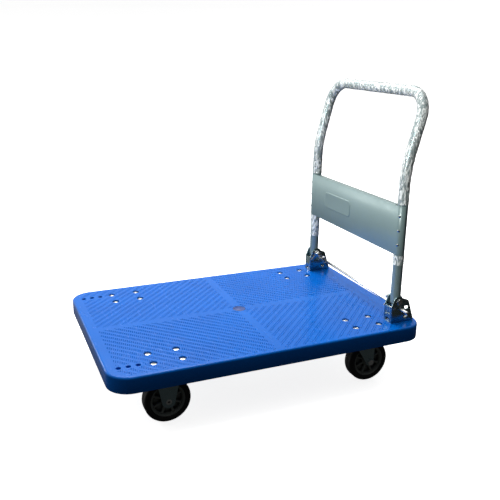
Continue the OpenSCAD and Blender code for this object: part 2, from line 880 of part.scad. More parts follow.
deck();
centre_plug();
hinge_bracket_left();
hinge_bracket_right();
bracket_bolts();
bracket_nuts();
pivot_bolts();
pivot_washers();
pivot_nuts();
stop_pins();
spring_coils();
caster_bolts();
caster_washers();
caster_nuts();
rigid_fork_left();
rigid_fork_right();
rigid_axles();
swivel_plate_left();
swivel_plate_right();
swivel_balls();
kingpins();
handle_tube();
heel_plugs();
pivot_bushes();
handle_panel();
panel_rivets();
film_upper();
film_lower();
lock_rod();
rod_clips();
spring_arm_left();
spring_arm_right();
swivel_fork_left();
swivel_axle_left();
axle_nut_left();
swivel_fork_right();
swivel_axle_right();
axle_nut_right();
tyre_rigid_left();
core_rigid_left();
bush_rigid_left();
tyre_rigid_right();
core_rigid_right();
bush_rigid_right();
tyre_swivel_left();
core_swivel_left();
bush_swivel_left();
tyre_swivel_right();
core_swivel_right();
bush_swivel_right();
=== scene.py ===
"""Looks of a folding platform cart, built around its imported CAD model.

Lengths are in metres and share the model's frame: +X is the handle end, +Z is up, and the
left side is -Y.
"""

import logging
import math
from dataclasses import dataclass
from enum import Enum
from typing import Callable, Iterable, Sequence

import bmesh
import bpy
from mathutils import Matrix, Vector
from mathutils.noise import noise


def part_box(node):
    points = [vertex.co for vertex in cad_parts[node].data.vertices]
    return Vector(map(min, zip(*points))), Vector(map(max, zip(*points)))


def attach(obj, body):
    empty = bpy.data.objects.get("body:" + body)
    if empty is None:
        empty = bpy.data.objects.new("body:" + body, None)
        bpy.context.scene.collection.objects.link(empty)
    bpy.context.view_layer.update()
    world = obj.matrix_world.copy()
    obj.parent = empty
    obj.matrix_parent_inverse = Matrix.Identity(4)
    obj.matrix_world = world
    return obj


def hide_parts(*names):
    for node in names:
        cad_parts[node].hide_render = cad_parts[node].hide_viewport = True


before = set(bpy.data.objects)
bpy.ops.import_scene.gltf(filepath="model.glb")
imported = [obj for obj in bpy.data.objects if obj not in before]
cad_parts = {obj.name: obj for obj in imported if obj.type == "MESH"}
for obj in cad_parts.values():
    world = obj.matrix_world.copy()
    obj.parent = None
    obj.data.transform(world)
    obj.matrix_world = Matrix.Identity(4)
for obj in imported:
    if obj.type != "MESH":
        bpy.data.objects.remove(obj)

LOG = logging.getLogger("cart")
MM = 0.001
TAU = 2 * math.pi
FLAT = 0.9999  # a face normal this upright belongs to a flat face
Point = tuple[float, float, float]


class Side(Enum):
    """The two sides of the cart, as seen by someone pushing it."""

    LEFT = -1
    RIGHT = 1

    @property
    def word(self) -> str:
        """The side's name, as the model's nodes spell it."""
        return self.name.lower()


class Corner(Enum):
    """The four casters: whether each swivels, and its side."""

    RIGID_LEFT = (False, Side.LEFT)
    RIGID_RIGHT = (False, Side.RIGHT)
    SWIVEL_LEFT = (True, Side.LEFT)
    SWIVEL_RIGHT = (True, Side.RIGHT)

    @property
    def swivels(self) -> bool:
        """Whether the fork turns on a kingpin."""
        return self.value[0]

    @property
    def side(self) -> Side:
        """The side of the cart that the caster is on."""
        return self.value[1]

    @property
    def word(self) -> str:
        """The caster's name, as the model's nodes spell it."""
        return self.name.lower()


# ---------------------------------------------------------------- materials


class NodeTree:
    """A small helper that makes and links shader nodes for one material."""

    def __init__(self, name: str) -> None:
        """Starts a material with a Principled surface."""
        self.material = bpy.data.materials.new(name)
        self.material.use_nodes = True
        self.tree = self.material.node_tree
        self.surface = self.tree.nodes["Principled BSDF"]

    def add(self, kind: str, links: dict | None = None, **values) -> bpy.types.Node:
        """Adds a node.

        Args:
            kind: Blender's name for the node type.
            links: input name to the output socket that feeds it.
            values: attributes of the node, or inputs where the name is an input's.

        Returns:
            The new node.
        """
        node = self.tree.nodes.new(kind)
        for name, value in values.items():
            label = name.replace("_", " ").title()
            if hasattr(node, name):
                setattr(node, name, value)
            else:
                node.inputs[label].default_value = value
        for name, socket in (links or {}).items():
            self.tree.links.new(socket, node.inputs[name])
        return node

    def coordinates(self) -> bpy.types.NodeSocket:
        """Object coordinates, in metres."""
        return self.add("ShaderNodeTexCoord").outputs["Object"]

    def stretched(self, scale: Point, turn: Point = (0, 0, 0)) -> bpy.types.NodeSocket:
        """Object coordinates scaled by a different factor on each axis."""
        mapping = self.add("ShaderNodeMapping", {"Vector": self.coordinates()})
        mapping.inputs["Scale"].default_value = scale
        mapping.inputs["Rotation"].default_value = turn
        return mapping.outputs["Vector"]

    def noise(self, scale: float, detail: float = 4.0, where: bpy.types.NodeSocket | None = None,
              distortion: float = 0.0) -> bpy.types.NodeSocket:
        """Fractal noise from 0 to 1 on object coordinates, scale being features per metre."""
        node = self.add("ShaderNodeTexNoise", {"Vector": where or self.coordinates()})
        node.inputs["Scale"].default_value = scale
        node.inputs["Detail"].default_value = detail
        node.inputs["Distortion"].default_value = distortion
        return node.outputs["Fac"]

    def spread(self, socket: bpy.types.NodeSocket, low: float, high: float,
               start: float = 0.3, end: float = 0.7) -> bpy.types.NodeSocket:
        """Maps a 0 to 1 value to the range from low to high."""
        node = self.add("ShaderNodeMapRange", {"Value": socket})
        node.inputs["From Min"].default_value = start
        node.inputs["From Max"].default_value = end
        node.inputs["To Min"].default_value = low
        node.inputs["To Max"].default_value = high
        return node.outputs["Result"]

    def mix(self, amount: bpy.types.NodeSocket, first: Sequence[float],
            second: Sequence[float]) -> bpy.types.NodeSocket:
        """A colour between first and second, as amount goes from 0 to 1."""
        node = self.tree.nodes.new("ShaderNodeMix")
        node.data_type = "RGBA"
        self.tree.links.new(amount, node.inputs[0])
        node.inputs[6].default_value = (*first[:3], 1)
        node.inputs[7].default_value = (*second[:3], 1)
        return node.outputs[2]

    def bump(self, height: bpy.types.NodeSocket, distance: float, strength: float = 1.0,
             under: bpy.types.NodeSocket | None = None) -> bpy.types.NodeSocket:
        """A surface relief of the given depth in metres."""
        node = self.add("ShaderNodeBump", {"Height": height})
        node.inputs["Distance"].default_value = distance
        node.inputs["Strength"].default_value = strength
        if under is not None:
            self.tree.links.new(under, node.inputs["Normal"])
        return node.outputs["Normal"]

    def feed(self, name: str, socket: bpy.types.NodeSocket) -> None:
        """Links a socket into the surface."""
        self.tree.links.new(socket, self.surface.inputs[name])

    def fix(self, **values: float) -> None:
        """Sets constants on the surface's own sockets."""
        for name, value in values.items():
            self.surface.inputs[name.replace("_", " ")].default_value = value


@dataclass(frozen=True)
class Plastic:
    """Moulded plastic with a fine pebbled skin and slight colour variation, and painted shade in its hollows
    where asked.
    """

    name: str
    colour: Sequence[float]
    shade: Sequence[float]
    rough: tuple[float, float] = (0.3, 0.42)
    grain: float = 0.00004
    grain_scale: float = 900.0
    specular: float = 0.5
    # painted shade: how far the ambient occlusion reaches when darkening hollows; 0 leaves the colour alone
    painted_shade_reach: float = 0.0

    def make(self) -> bpy.types.Material:
        """Builds the material."""
        m = NodeTree(self.name)
        cloud = m.noise(7.0, 5.0, distortion=0.4)
        fine = m.noise(self.grain_scale, 2.0)
        scuff = m.noise(60.0, 6.0, m.stretched((1.0, 0.25, 1.0), (0, 0, 0.4)))
        tone = m.mix(m.spread(cloud, 0, 1), self.colour, self.shade)
        # painted shade: ambient occlusion darkens the colour in hollows and between parts, down to 4 percent
        # of it
        if self.painted_shade_reach:
            hollow = m.add("ShaderNodeAmbientOcclusion", {"Color": tone})
            hollow.inputs["Distance"].default_value = self.painted_shade_reach
            shown = m.spread(hollow.outputs["AO"], 0.04, 1, 0.35, 0.8)
            painted_shade_scale = m.add("ShaderNodeVectorMath", {"Vector": tone})
            painted_shade_scale.operation = "SCALE"
            m.tree.links.new(shown, painted_shade_scale.inputs["Scale"])
            tone = painted_shade_scale.outputs["Vector"]
        m.feed("Base Color", tone)
        m.feed("Roughness", m.spread(scuff, *self.rough))
        m.feed("Normal", m.bump(fine, self.grain))
        m.surface.inputs["Specular IOR Level"].default_value = self.specular
        return m.material


@dataclass(frozen=True)
class Steel:
    """Plated or drawn steel, with faint rolling marks and a cloudy tarnish."""

    name: str
    colour: Sequence[float]
    shade: Sequence[float]
    rough: tuple[float, float] = (0.22, 0.4)
    marks: Point = (40.0, 40.0, 600.0)
    depth: float = 0.00002
    metallic: float = 1.0

    def make(self) -> bpy.types.Material:
        """Builds the material."""
        m = NodeTree(self.name)
        cloud = m.noise(24.0, 6.0, distortion=0.8)
        marks = m.noise(1.0, 3.0, m.stretched(self.marks))
        tone = m.mix(m.spread(cloud, 0, 1, 0.25, 0.75), self.shade, self.colour)
        m.feed("Base Color", tone)
        m.feed("Roughness", m.spread(marks, *self.rough))
        m.feed("Normal", m.bump(marks, self.depth))
        m.fix(Metallic=self.metallic)
        return m.material


@dataclass(frozen=True)
class Paint:
    """Satin paint on sheet steel, with a faint orange-peel relief."""

    name: str
    colour: Sequence[float]
    shade: Sequence[float]
    rough: tuple[float, float] = (0.3, 0.4)

    def make(self) -> bpy.types.Material:
        """Builds the material."""
        m = NodeTree(self.name)
        cloud = m.noise(9.0, 4.0)
        peel = m.noise(420.0, 2.0)
        m.feed("Base Color", m.mix(m.spread(cloud, 0, 1), self.colour, self.shade))
        m.feed("Roughness", m.spread(m.noise(70.0, 5.0), *self.rough))
        m.feed("Normal", m.bump(peel, 0.00003))
        m.fix(Metallic=0.12)
        m.surface.inputs["Coat Weight"].default_value = 0.12
        m.surface.inputs["Coat Roughness"].default_value = 0.25
        return m.material


@dataclass(frozen=True)
class Rubber:
    """Black rubber with mould grain and a paler dusty wear."""

    name: str
    colour: Sequence[float]
    dust: Sequence[float]
    rough: tuple[float, float] = (0.5, 0.72)

    def make(self) -> bpy.types.Material:
        """Builds the material."""
        m = NodeTree(self.name)
        dust = m.noise(30.0, 8.0, distortion=0.6)
        m.feed("Base Color", m.mix(m.spread(dust, 0, 1, 0.5, 0.85), self.colour, self.dust))
        m.feed("Roughness", m.spread(m.noise(120.0, 4.0), *self.rough))
        m.feed("Normal", m.bump(m.noise(1400.0, 2.0), 0.00005))
        return m.material


@dataclass(frozen=True)
class ClearFilm:
    """Thin clear wrap, creased, with whitish folds that catch the light."""

    name: str
    alpha: tuple[float, float] = (0.22, 0.97)

    def make(self) -> bpy.types.Material:
        """Builds the material."""
        m = NodeTree(self.name)
        crease = m.noise(1.0, 3.0, m.stretched((110.0, 110.0, 34.0)), distortion=1.5)
        fold = m.noise(1.0, 2.0, m.stretched((150.0, 150.0, 48.0), (0.5, 0.3, 0.0)), distortion=2.0)
        m.feed("Alpha", m.spread(crease, self.alpha[0], self.alpha[1], 0.46, 0.58))
        m.feed("Base Color", m.mix(m.spread(fold, 0, 1), (0.72, 0.80, 0.79), (0.98, 1.0, 0.99)))
        m.feed("Roughness", m.spread(fold, 0.04, 0.16))
        m.feed("Normal", m.bump(crease, 0.003, 0.9, m.bump(fold, 0.0012, 0.8)))
        m.surface.inputs["Coat Weight"].default_value = 0.6
        m.surface.inputs["Coat Roughness"].default_value = 0.08
        return m.material


class Finish:
    """All of the cart's materials, by record slot."""

    def __init__(self) -> None:
        """Builds each material once."""
        self.by_slot = {
            "deck_plastic": Plastic("blue_deck", (0.0, 0.146, 0.63), (0.0, 0.126, 0.56),
                                    (0.18, 0.30), 0.00003, specular=0.13),
            "plug_plastic": Plastic("blue_plug", (0.006, 0.04, 0.22), (0.006, 0.05, 0.28)),
            "zinc_sheet": Steel("zinc_sheet", (0.34, 0.46, 0.48), (0.26, 0.37, 0.39), (0.16, 0.32)),
            "zinc_hardware": Steel("zinc_hardware", (0.80, 0.81, 0.78), (0.68, 0.69, 0.66),
                                   (0.14, 0.3)),
            "rod_steel": Steel("drawn_rod", (0.82, 0.83, 0.81), (0.70, 0.72, 0.71), (0.12, 0.26),
                               (30.0, 500.0, 30.0)),
            "spring_steel": Steel("spring_wire", (0.66, 0.67, 0.66), (0.5, 0.52, 0.52)),
            "tube_steel": Steel("galvanised_tube", (0.24, 0.33, 0.34), (0.17, 0.25, 0.26),
                                (0.22, 0.36), (300.0, 300.0, 12.0), metallic=0.45),
            "panel_paint": Paint("grey_panel", (0.188, 0.268, 0.264), (0.174, 0.250, 0.247)),
            "film": ClearFilm("clear_film"),
            "tyre_rubber": Rubber("tyre_rubber", (0.012, 0.012, 0.013), (0.035, 0.036, 0.038)),
            # the wheel centre's colour carries painted shade, darkest in its spoke windows and recesses
            "core_plastic": Plastic("wheel_core", (0.260, 0.290, 0.265), (0.210, 0.236, 0.218),
                                    (0.4, 0.55), 0.00005, painted_shade_reach=0.012),
            "bush_metal": Steel("bush_metal", (0.62, 0.48, 0.24), (0.5, 0.38, 0.18)),
            "ball_steel": Steel("ball_steel", (0.75, 0.75, 0.75), (0.7, 0.7, 0.7), (0.1, 0.15)),
            "insert_plastic": Plastic("dark_insert", (0.03, 0.03, 0.032), (0.02, 0.02, 0.022)),
        }
        self.made = {slot: finish.make() for slot, finish in self.by_slot.items()}

    def dress(self, piece: bpy.types.Object, slot: str) -> None:
        """Gives a piece the material of a record slot."""
        piece.data.materials.clear()
        piece.data.materials.append(self.made[slot])


# ---------------------------------------------------------------- mesh helpers


def as_object(name: str, mesh: bmesh.types.BMesh, smooth_angle: float = 35.0) -> bpy.types.Object:
    """Turns a bmesh into an object in the scene, smooth except at sharp edges.

    Args:
        name: the piece's name.
        mesh: the bmesh, which is freed.
        smooth_angle: edges sharper than this many degrees stay hard.

    Returns:
        The new object.
    """
    bmesh.ops.recalc_face_normals(mesh, faces=mesh.faces)
    data = bpy.data.meshes.new(name)
    mesh.to_mesh(data)
    mesh.free()
    data.shade_smooth()
    data.set_sharp_from_angle(angle=math.radians(smooth_angle))
    piece = bpy.data.objects.new(name, data)
    bpy.context.scene.collection.objects.link(piece)
    return piece


def lathe(profile: Sequence[tuple[float, float]], steps: int, place: Matrix,
          closed: bool = True, mesh: bmesh.types.BMesh | None = None) -> bmesh.types.BMesh:
    """Turns a profile of (radius, height) points about the Z axis of place.

    Args:
        profile: the outline's points; radius 0 makes a pole.
        steps: how many segments go round.
        place: where the axis is.
        closed: whether the outline's last point joins its first.
        mesh: a bmesh to add to, or None for a new one.

    Returns:
        The bmesh with the turned shape.
    """
    mesh = mesh or bmesh.new()
    rings = []
    for radius, height in profile:
        count = steps if radius > 1e-9 else 1
        rings.append([
            mesh.verts.new(place @ Vector((radius * math.cos(TAU * i / steps),
                                           radius * math.sin(TAU * i / steps), height)))
            for i in range(count)
        ])
    pairs = list(zip(rings, rings[1:] + ([rings[0]] if closed else [])))
    for low, high in (pairs if closed else pairs[: len(rings) - 1]):
        for i in range(steps):
            j = (i + 1) % steps
            corners = [low[i % len(low)], low[j % len(low)], high[j % len(high)], high[i % len(high)]]
            corners = list(dict.fromkeys(corners))
            if len(corners) > 2:
                mesh.faces.new(corners)
    return mesh


def arc(cx: float, cy: float, r: float, start: float, end: float, steps: int) -> list:
    """Points of an arc about (cx, cy), its angles in degrees."""
    return [
        (cx + r * math.cos(math.radians(start + (end - start) * i / steps)),
         cy + r * math.sin(math.radians(start + (end - start) * i / steps)))
        for i in range(steps + 1)
    ]


def sweep(path: Sequence[Vector], radius: float | Callable[[int, float], float], around: int,
          mesh: bmesh.types.BMesh | None = None, caps: bool = True) -> bmesh.types.BMesh:
    """Runs a round section along a path.

    Args:
        path: points of the centre line.
        radius: the section's radius, or a function of the ring's number and its angle.
        around: how many points each ring has.
        mesh: a bmesh to add to, or None for a new one.
        caps: whether the ends are closed.

    Returns:
        The bmesh with the tube.
    """
    mesh = mesh or bmesh.new()
    tangent = (path[1] - path[0]).normalized()
    side = tangent.orthogonal().normalized()
    rings = []
    for k, point in enumerate(path):
        after, before = path[min(k + 1, len(path) - 1)], path[max(k - 1, 0)]
        new_tangent = (after - before).normalized()
        side = (side - new_tangent * side.dot(new_tangent)).normalized()
        other = new_tangent.cross(side)
        ring = []
        for i in range(around):
            a = TAU * i / around
            r = radius(k, a) if callable(radius) else radius
            ring.append(mesh.verts.new(point + r * (math.cos(a) * side + math.sin(a) * other)))
        rings.append(ring)
    for low, high in zip(rings, rings[1:]):
        for i in range(around):
            j = (i + 1) % around
            mesh.faces.new((low[i], low[j], high[j], high[i]))
    if caps:
        mesh.faces.new(rings[0][::-1])
        mesh.faces.new(rings[-1])
    return mesh


def plate(name: str, outline: Sequence[tuple[float, float]], holes: Iterable[Sequence],
          thickness: float, place: Matrix, round_over: float = 0.0005) -> bpy.types.Object:
    """A flat plate with holes and rounded edges.

    Args:
        name: the piece's name.
        outline: points of its edge, in the plane of place.
        holes: lists of points, one for each hole.
        thickness: the plate's full thickness, from the plane of place upward.
        place: the plane it lies in.
        round_over: radius of the rounded edges.

    Returns:
        The new mesh object.
    """
    curve = bpy.data.curves.new(name, "CURVE")
    curve.dimensions = "2D"
    curve.fill_mode = "BOTH"
    for loop in [outline, *holes]:
        spline = curve.splines.new("POLY")
        spline.points.add(len(loop) - 1)
        for point, (x, y) in zip(spline.points, loop):
            point.co = (x, y, 0, 1)
        spline.use_cyclic_u = True
    curve.extrude = thickness / 2 - round_over
    curve.bevel_depth = round_over
    curve.bevel_resolution = 2
    curve.offset = -round_over
    drawn = bpy.data.objects.new(name + "_outline", curve)
    bpy.context.scene.collection.objects.link(drawn)
    bpy.context.view_layer.update()
    shown = drawn.evaluated_get(bpy.context.evaluated_depsgraph_get())
    data = bpy.data.meshes.new_from_object(shown)
    bpy.data.objects.remove(drawn)
    bpy.data.curves.remove(curve)
    mesh = bmesh.new()
    mesh.from_mesh(data)
    bpy.data.meshes.remove(data)
    bmesh.ops.remove_doubles(mesh, verts=mesh.verts, dist=1e-6)
    mesh.transform(place @ Matrix.Translation((0, 0, thickness / 2)))
    return as_object(name, mesh, 50)


def circle(x: float, y: float, r: float, steps: int = 40) -> list:
    """Points of a circle."""
    return arc(x, y, r, 0, 360 * (steps - 1) / steps, steps - 1)


def rounded(points: Sequence[tuple[float, float]], radii: Sequence[float] | float,
            steps: int = 6) -> list:
    """Rounds the corners of an outline.

    Args:
        points: the sharp corners, in order.
        radii: the corner radius, or one for each corner.
        steps: segments in each rounded corner.

    Returns:
        The rounded outline's points.
    """
    out = []
    count = len(points)
    radii = [radii] * count if isinstance(radii, (int, float)) else radii
    for i in range(count):
        here = Vector(points[i])
        to_last = (Vector(points[i - 1]) - here)
        to_next = (Vector(points[(i + 1) % count]) - here)
        half = to_last.angle(to_next) / 2
        reach = min(radii[i] / math.tan(half), to_last.length * 0.48, to_next.length * 0.48)
        start = here + to_last.normalized() * reach
        end = here + to_next.normalized() * reach
        for k in range(steps + 1):
            t = k / steps
            bent = start.lerp(here, t).lerp(here.lerp(end, t), t)
            out.append((bent.x, bent.y))
    return out


def hex_head(mesh: bmesh.types.BMesh, place: Matrix, flats: float, height: float,
             chamfer: bool = True, spin: float = 0.0) -> None:
    """Adds a hexagonal head or nut with a turned chamfer on its top.

    Args:
        mesh: the bmesh to add to.
        place: the middle of its seat, Z outward.
        flats: width across flats.
        height: height of the head.
        chamfer: whether the top is chamfered.
        spin: turn about its axis, in degrees.
    """
    steps, half = 72, flats / 2

    def ring(limit: float, z: float) -> list:
        """One outline of the hexagon, cut to a circle of the given radius."""
        verts = []
        for i in range(steps):
            a = TAU * i / steps
            flat = (a + math.pi / 6) % (TAU / 6) - math.pi / 6
            r = min(half / math.cos(flat), limit)
            b = a + math.radians(spin)
            verts.append(mesh.verts.new(place @ Vector((r * math.cos(b), r * math.sin(b), z))))
        return verts

    full, cut = half / math.cos(math.pi / 6), half * 0.97
    levels = [ring(full * 0.985, 0), ring(full, 0.0003), ring(full, height - (full - cut) * 0.58)]
    if chamfer:
        levels += [ring(half * 1.05, height - (half * 1.05 - cut) * 0.58), ring(cut, height)]
    else:
        levels += [ring(full * 0.985, height)]
    for low, high in zip(levels, levels[1:]):
        for i in range(steps):
            j = (i + 1) % steps
            mesh.faces.new((low[i], low[j], high[j], high[i]))
    mesh.faces.new(levels[0][::-1])
    mesh.faces.new(levels[-1])


def shaft(mesh: bmesh.types.BMesh, place: Matrix, radius: float, low: float, high: float,
          thread: tuple[float, float] | None = None) -> None:
    """Adds a shaft with a chamfered far end, and a cut thread over part of it.

    Args:
        mesh: the bmesh to add to.
        place: the shaft's axis along Z.
        radius: its radius.
        low: its chamfered end.
        high: its other end.
        thread: lowest and highest height of the thread, or None.
    """
    chamfer, pitch, depth = radius * 0.2, radius * 0.26, radius * 0.12
    profile = [(0.0, low), (radius - chamfer, low), (radius, low + chamfer)]
    if thread:
        start, end = max(thread[0], low + 1.6 * chamfer), thread[1]
        for i in range(int((end - start) / pitch)):
            z = start + i * pitch
            profile += [(radius, z), (radius - depth, z + 0.4 * pitch), (radius - depth, z + 0.55 * pitch)]
        profile.append((radius, end))
    profile += [(radius, high), (0.0, high)]
    lathe(profile, 28, place, False, mesh)


def ring_plate(mesh: bmesh.types.BMesh, place: Matrix, inner: float, outer: float,
               thickness: float) -> None:
    """Adds a washer with softened edges, standing on place."""
    soft = min(0.00025, thickness / 4)
    lathe([(inner, soft), (inner + soft, 0), (outer - soft, 0), (outer, soft),
           (outer, thickness - soft), (outer - soft, thickness), (inner + soft, thickness),
           (inner, thickness - soft)], 40, place, True, mesh)


def block(mesh: bmesh.types.BMesh, low: Point, high: Point) -> None:
    """Adds a box between two corners."""
    corners = [mesh.verts.new((x, y, z)) for x in (low[0], high[0])
               for y in (low[1], high[1]) for z in (low[2], high[2])]
    for quad in ((0, 1, 3, 2), (4, 6, 7, 5), (0, 4, 5, 1), (2, 3, 7, 6), (0, 2, 6, 4), (1, 5, 7, 3)):
        mesh.faces.new([corners[i] for i in quad])


def bevelled(piece: bpy.types.Object, width: float, segments: int = 2,
             angle: float = 40.0) -> bpy.types.Object:
    """Gives a piece softened edges, kept as part of its mesh."""
    modifier = piece.modifiers.new("soft_edges", "BEVEL")
    modifier.width = width
    modifier.segments = segments
    modifier.limit_method = "ANGLE"
    modifier.angle_limit = math.radians(angle)
    modifier.harden_normals = False
    return bake_down(piece)


def bake_down(piece: bpy.types.Object) -> bpy.types.Object:
    """Applies a piece's modifiers to its mesh."""
    bpy.context.view_layer.update()
    data = bpy.data.meshes.new_from_object(
        piece.evaluated_get(bpy.context.evaluated_depsgraph_get()))
    old = piece.data
    piece.modifiers.clear()
    piece.data = data
    bpy.data.meshes.remove(old)
    return piece


def turned(x: float, y: float, z: float, axis: str = "Z") -> Matrix:
    """A place at a point, with its Z axis along the named axis (a minus sign turns it back)."""
    turns = {"Z": Matrix.Identity(4), "-Z": Matrix.Rotation(math.pi, 4, "X"),
             "Y": Matrix.Rotation(-math.pi / 2, 4, "X"), "-Y": Matrix.Rotation(math.pi / 2, 4, "X"),
             "X": Matrix.Rotation(math.pi / 2, 4, "Y"), "-X": Matrix.Rotation(-math.pi / 2, 4, "Y")}
    return Matrix.Translation((x, y, z)) @ turns[axis]


def centre(node: str) -> Vector:
    """The middle of a CAD node's box."""
    low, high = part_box(node)
    return (low + high) / 2


class Workshop:
    """Puts finished pieces on their bodies, with their materials."""

    def __init__(self, finish: Finish) -> None:
        """Keeps the materials, counts the pieces and sorts them by slot."""
        self.finish = finish
        self.count = 0
        self.by_slot: dict[str, list[bpy.types.Object]] = {}

    def fit(self, piece: bpy.types.Object, body: str, slot: str, *nodes: str) -> bpy.types.Object:
        """Dresses a piece, sets it on a body, and hides the nodes it stands for.

        Args:
            piece: the finished mesh object.
            body: the CAD body it moves with.
            slot: the record slot of its material.
            nodes: the CAD nodes it replaces.

        Returns:
            The same piece.
        """
        self.finish.dress(piece, slot)
        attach(piece, body)
        if nodes:
            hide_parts(*nodes)
        self.count += 1
        self.by_slot.setdefault(slot, []).append(piece)
        LOG.info("%s rides on %s, %d faces", piece.name, body, len(piece.data.polygons))
        return piece

    def build(self, name: str, mesh: bmesh.types.BMesh, body: str, slot: str, *nodes: str,
              angle: float = 35.0) -> bpy.types.Object:
        """Makes an object of a bmesh and fits it."""
        return self.fit(as_object(name, mesh, angle), body, slot, *nodes)


# ---------------------------------------------------------------- deck


@dataclass
class Deck:
    """The blue moulded deck: skirt, rim, tread, ribs, bores and its centre plug."""

    shop: Workshop
    edge: float = 6 * MM
    corner: float = 60 * MM
    wall: float = 4 * MM
    top_t: float = 5 * MM
    rib_t: float = 3 * MM
    rib_pitch: float = 75 * MM
    bolt_gap: tuple[float, float] = (38 * MM, 29 * MM)
    caster: tuple[float, float] = (293 * MM, 220 * MM)
    plate_z: float = 156 * MM
    pocket: tuple[float, float] = (113 * MM, 93 * MM)
    row: tuple[float, float] = (393.5 * MM, 245 * MM)
    row_gap: float = 25 * MM
    boss_z: float = 160 * MM
    bore_depth: float = 6.5 * MM
    bore_r: float = 10 * MM
    plug_r: float = 19 * MM
    tread_gap: float = 18.8 * MM
    dash_gap: float = 6.2 * MM
    dash_h: float = 1.0 * MM
    corner_steps: int = 14

    def __post_init__(self) -> None:
        """Reads the deck's box."""
        self.low, self.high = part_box("deck")
        self.half_l, self.half_w = self.high.x, self.high.y
        self.top, self.bottom = self.high.z, self.low.z

    def outline(self, inset: float) -> list[tuple[float, float]]:
        """The deck's plan outline, moved inward."""
        r = max(self.corner - inset, 4 * MM)
        x, y = self.half_l - inset - r, self.half_w - inset - r
        out = []
        for sx, sy, start in ((1, 1, 0), (-1, 1, 90), (-1, -1, 180), (1, -1, 270)):
            out += arc(sx * x, sy * y, r, start, start + 90, self.corner_steps)
        return out

    def shell(self) -> bmesh.types.BMesh:
        """The hollow shell, with a rounded rim and a rolled lower edge."""
        mesh = bmesh.new()
        roll, steps = 1.2 * MM, 7
        levels = [(self.wall, self.top - self.top_t), (self.wall, self.bottom + roll),
                  (self.wall - roll, self.bottom), (roll, self.bottom),
                  (0.3 * roll, self.bottom + 0.3 * roll),
                  (0, self.bottom + roll)]
        for i in range(steps + 1):
            a = math.radians(90 * i / steps)
            levels.append((self.edge * (1 - math.cos(a)), self.top - self.edge * (1 - math.sin(a))))
        levels.append((self.edge + 0.6 * MM, self.top))
        rings = [[mesh.verts.new((x, y, z)) for x, y in self.outline(inset)] for inset, z in levels]
        for low, high in zip(rings, rings[1:]):
            for i in range(len(low)):
                j = (i + 1) % len(low)
                mesh.faces.new((low[i], low[j], high[j], high[i]))
        mesh.faces.new(rings[0][::-1])
        mesh.faces.new(rings[-1])
        bmesh.ops.recalc_face_normals(mesh, faces=mesh.faces)
        return mesh

    def corners(self) -> list[tuple[float, float]]:
        """The four caster centres."""
        return [(sx * self.caster[0], sy * self.caster[1]) for sx in (-1, 1) for sy in (-1, 1)]

    def bolt_centres(self) -> list[tuple[float, float]]:
        """All sixteen caster bolts."""
        return [(x + sx * self.bolt_gap[0], y + sy * self.bolt_gap[1])
                for x, y in self.corners() for sx in (-1, 1) for sy in (-1, 1)]

    def row_centres(self, end: int) -> list[tuple[float, float]]:
        """The two rows of three holes at one end of the deck."""
        return [(end * self.row[0] + i * self.row_gap, sy * self.row[1])
                for sy in (-1, 1) for i in (-1, 0, 1)]

    def cutters(self) -> bmesh.types.BMesh:
        """Every hole of the deck, as one mesh of separate plugs."""
        mesh = bmesh.new()
        over, soft, floor = self.top + 4 * MM, 0.8 * MM, self.top - self.bore_depth

        def drill(x: float, y: float, r: float, low: float) -> None:
            """One hole down to a height, its mouth slightly rounded."""
            lathe([(0.0, low), (r, low), (r, self.top - soft), (r + 0.3 * soft, self.top - 0.3 * soft),
                   (r + soft, self.top + 0.02 * MM), (r + soft, over), (0.0, over)],
                  32, Matrix.Translation((x, y, 0)), False, mesh)

        for x, y in self.bolt_centres():
            lathe([(0.0, self.boss_z - 12 * MM), (4.5 * MM, self.boss_z - 12 * MM), (4.5 * MM, floor),
                   (self.bore_r, floor), (self.bore_r, self.top - soft),
                   (self.bore_r + soft, self.top + 0.02 * MM), (self.bore_r + soft, over), (0.0, over)],
                  32, Matrix.Translation((x, y, 0)), False, mesh)
        for x, y in self.row_centres(-1):
            drill(x, y, 6.5 * MM, self.bottom)
        for x, y in self.row_centres(1):
            drill(x, y, 4.5 * MM, self.bottom)
        lathe([(0.0, self.bottom), (9.9 * MM, self.bottom), (9.9 * MM, self.top - 3 * MM),
               (self.plug_r + 0.3 * MM, self.top - 3 * MM), (self.plug_r + 0.3 * MM, self.top - soft),
               (self.plug_r + 0.3 * MM + soft, self.top + 0.02 * MM),
               (self.plug_r + 0.3 * MM + soft, over), (0.0, over)], 64, Matrix.Identity(4), False, mesh)
        bmesh.ops.recalc_face_normals(mesh, faces=mesh.faces)
        return mesh

    def cut(self, mesh: bmesh.types.BMesh, cutter: bmesh.types.BMesh) -> bmesh.types.BMesh:
        """Subtracts one bmesh from another and returns what is left."""
        pieces = []
        for part in (mesh, cutter):
            data = bpy.data.meshes.new("cut_work")
            part.to_mesh(data)
            part.free()
            pieces.append(bpy.data.objects.new("cut_work", data))
            bpy.context.scene.collection.objects.link(pieces[-1])
        modifier = pieces[0].modifiers.new("holes", "BOOLEAN")
        modifier.operation, modifier.solver, modifier.object = "DIFFERENCE", "EXACT", pieces[1]
        bake_down(pieces[0])
        result = bmesh.new()
        result.from_mesh(pieces[0].data)
        for piece in pieces:
            data = piece.data
            bpy.data.objects.remove(piece)
            bpy.data.meshes.remove(data)
        return result

    def build_shell(self) -> None:
        """The shell with all its holes."""
        piece = self.shop.build("deck_shell", self.cut(self.shell(), self.cutters()), "chassis",
                        "deck_plastic", "deck", angle=32)
        for face in piece.data.polygons:
            if abs(face.normal.z) > FLAT:
                face.use_smooth = False

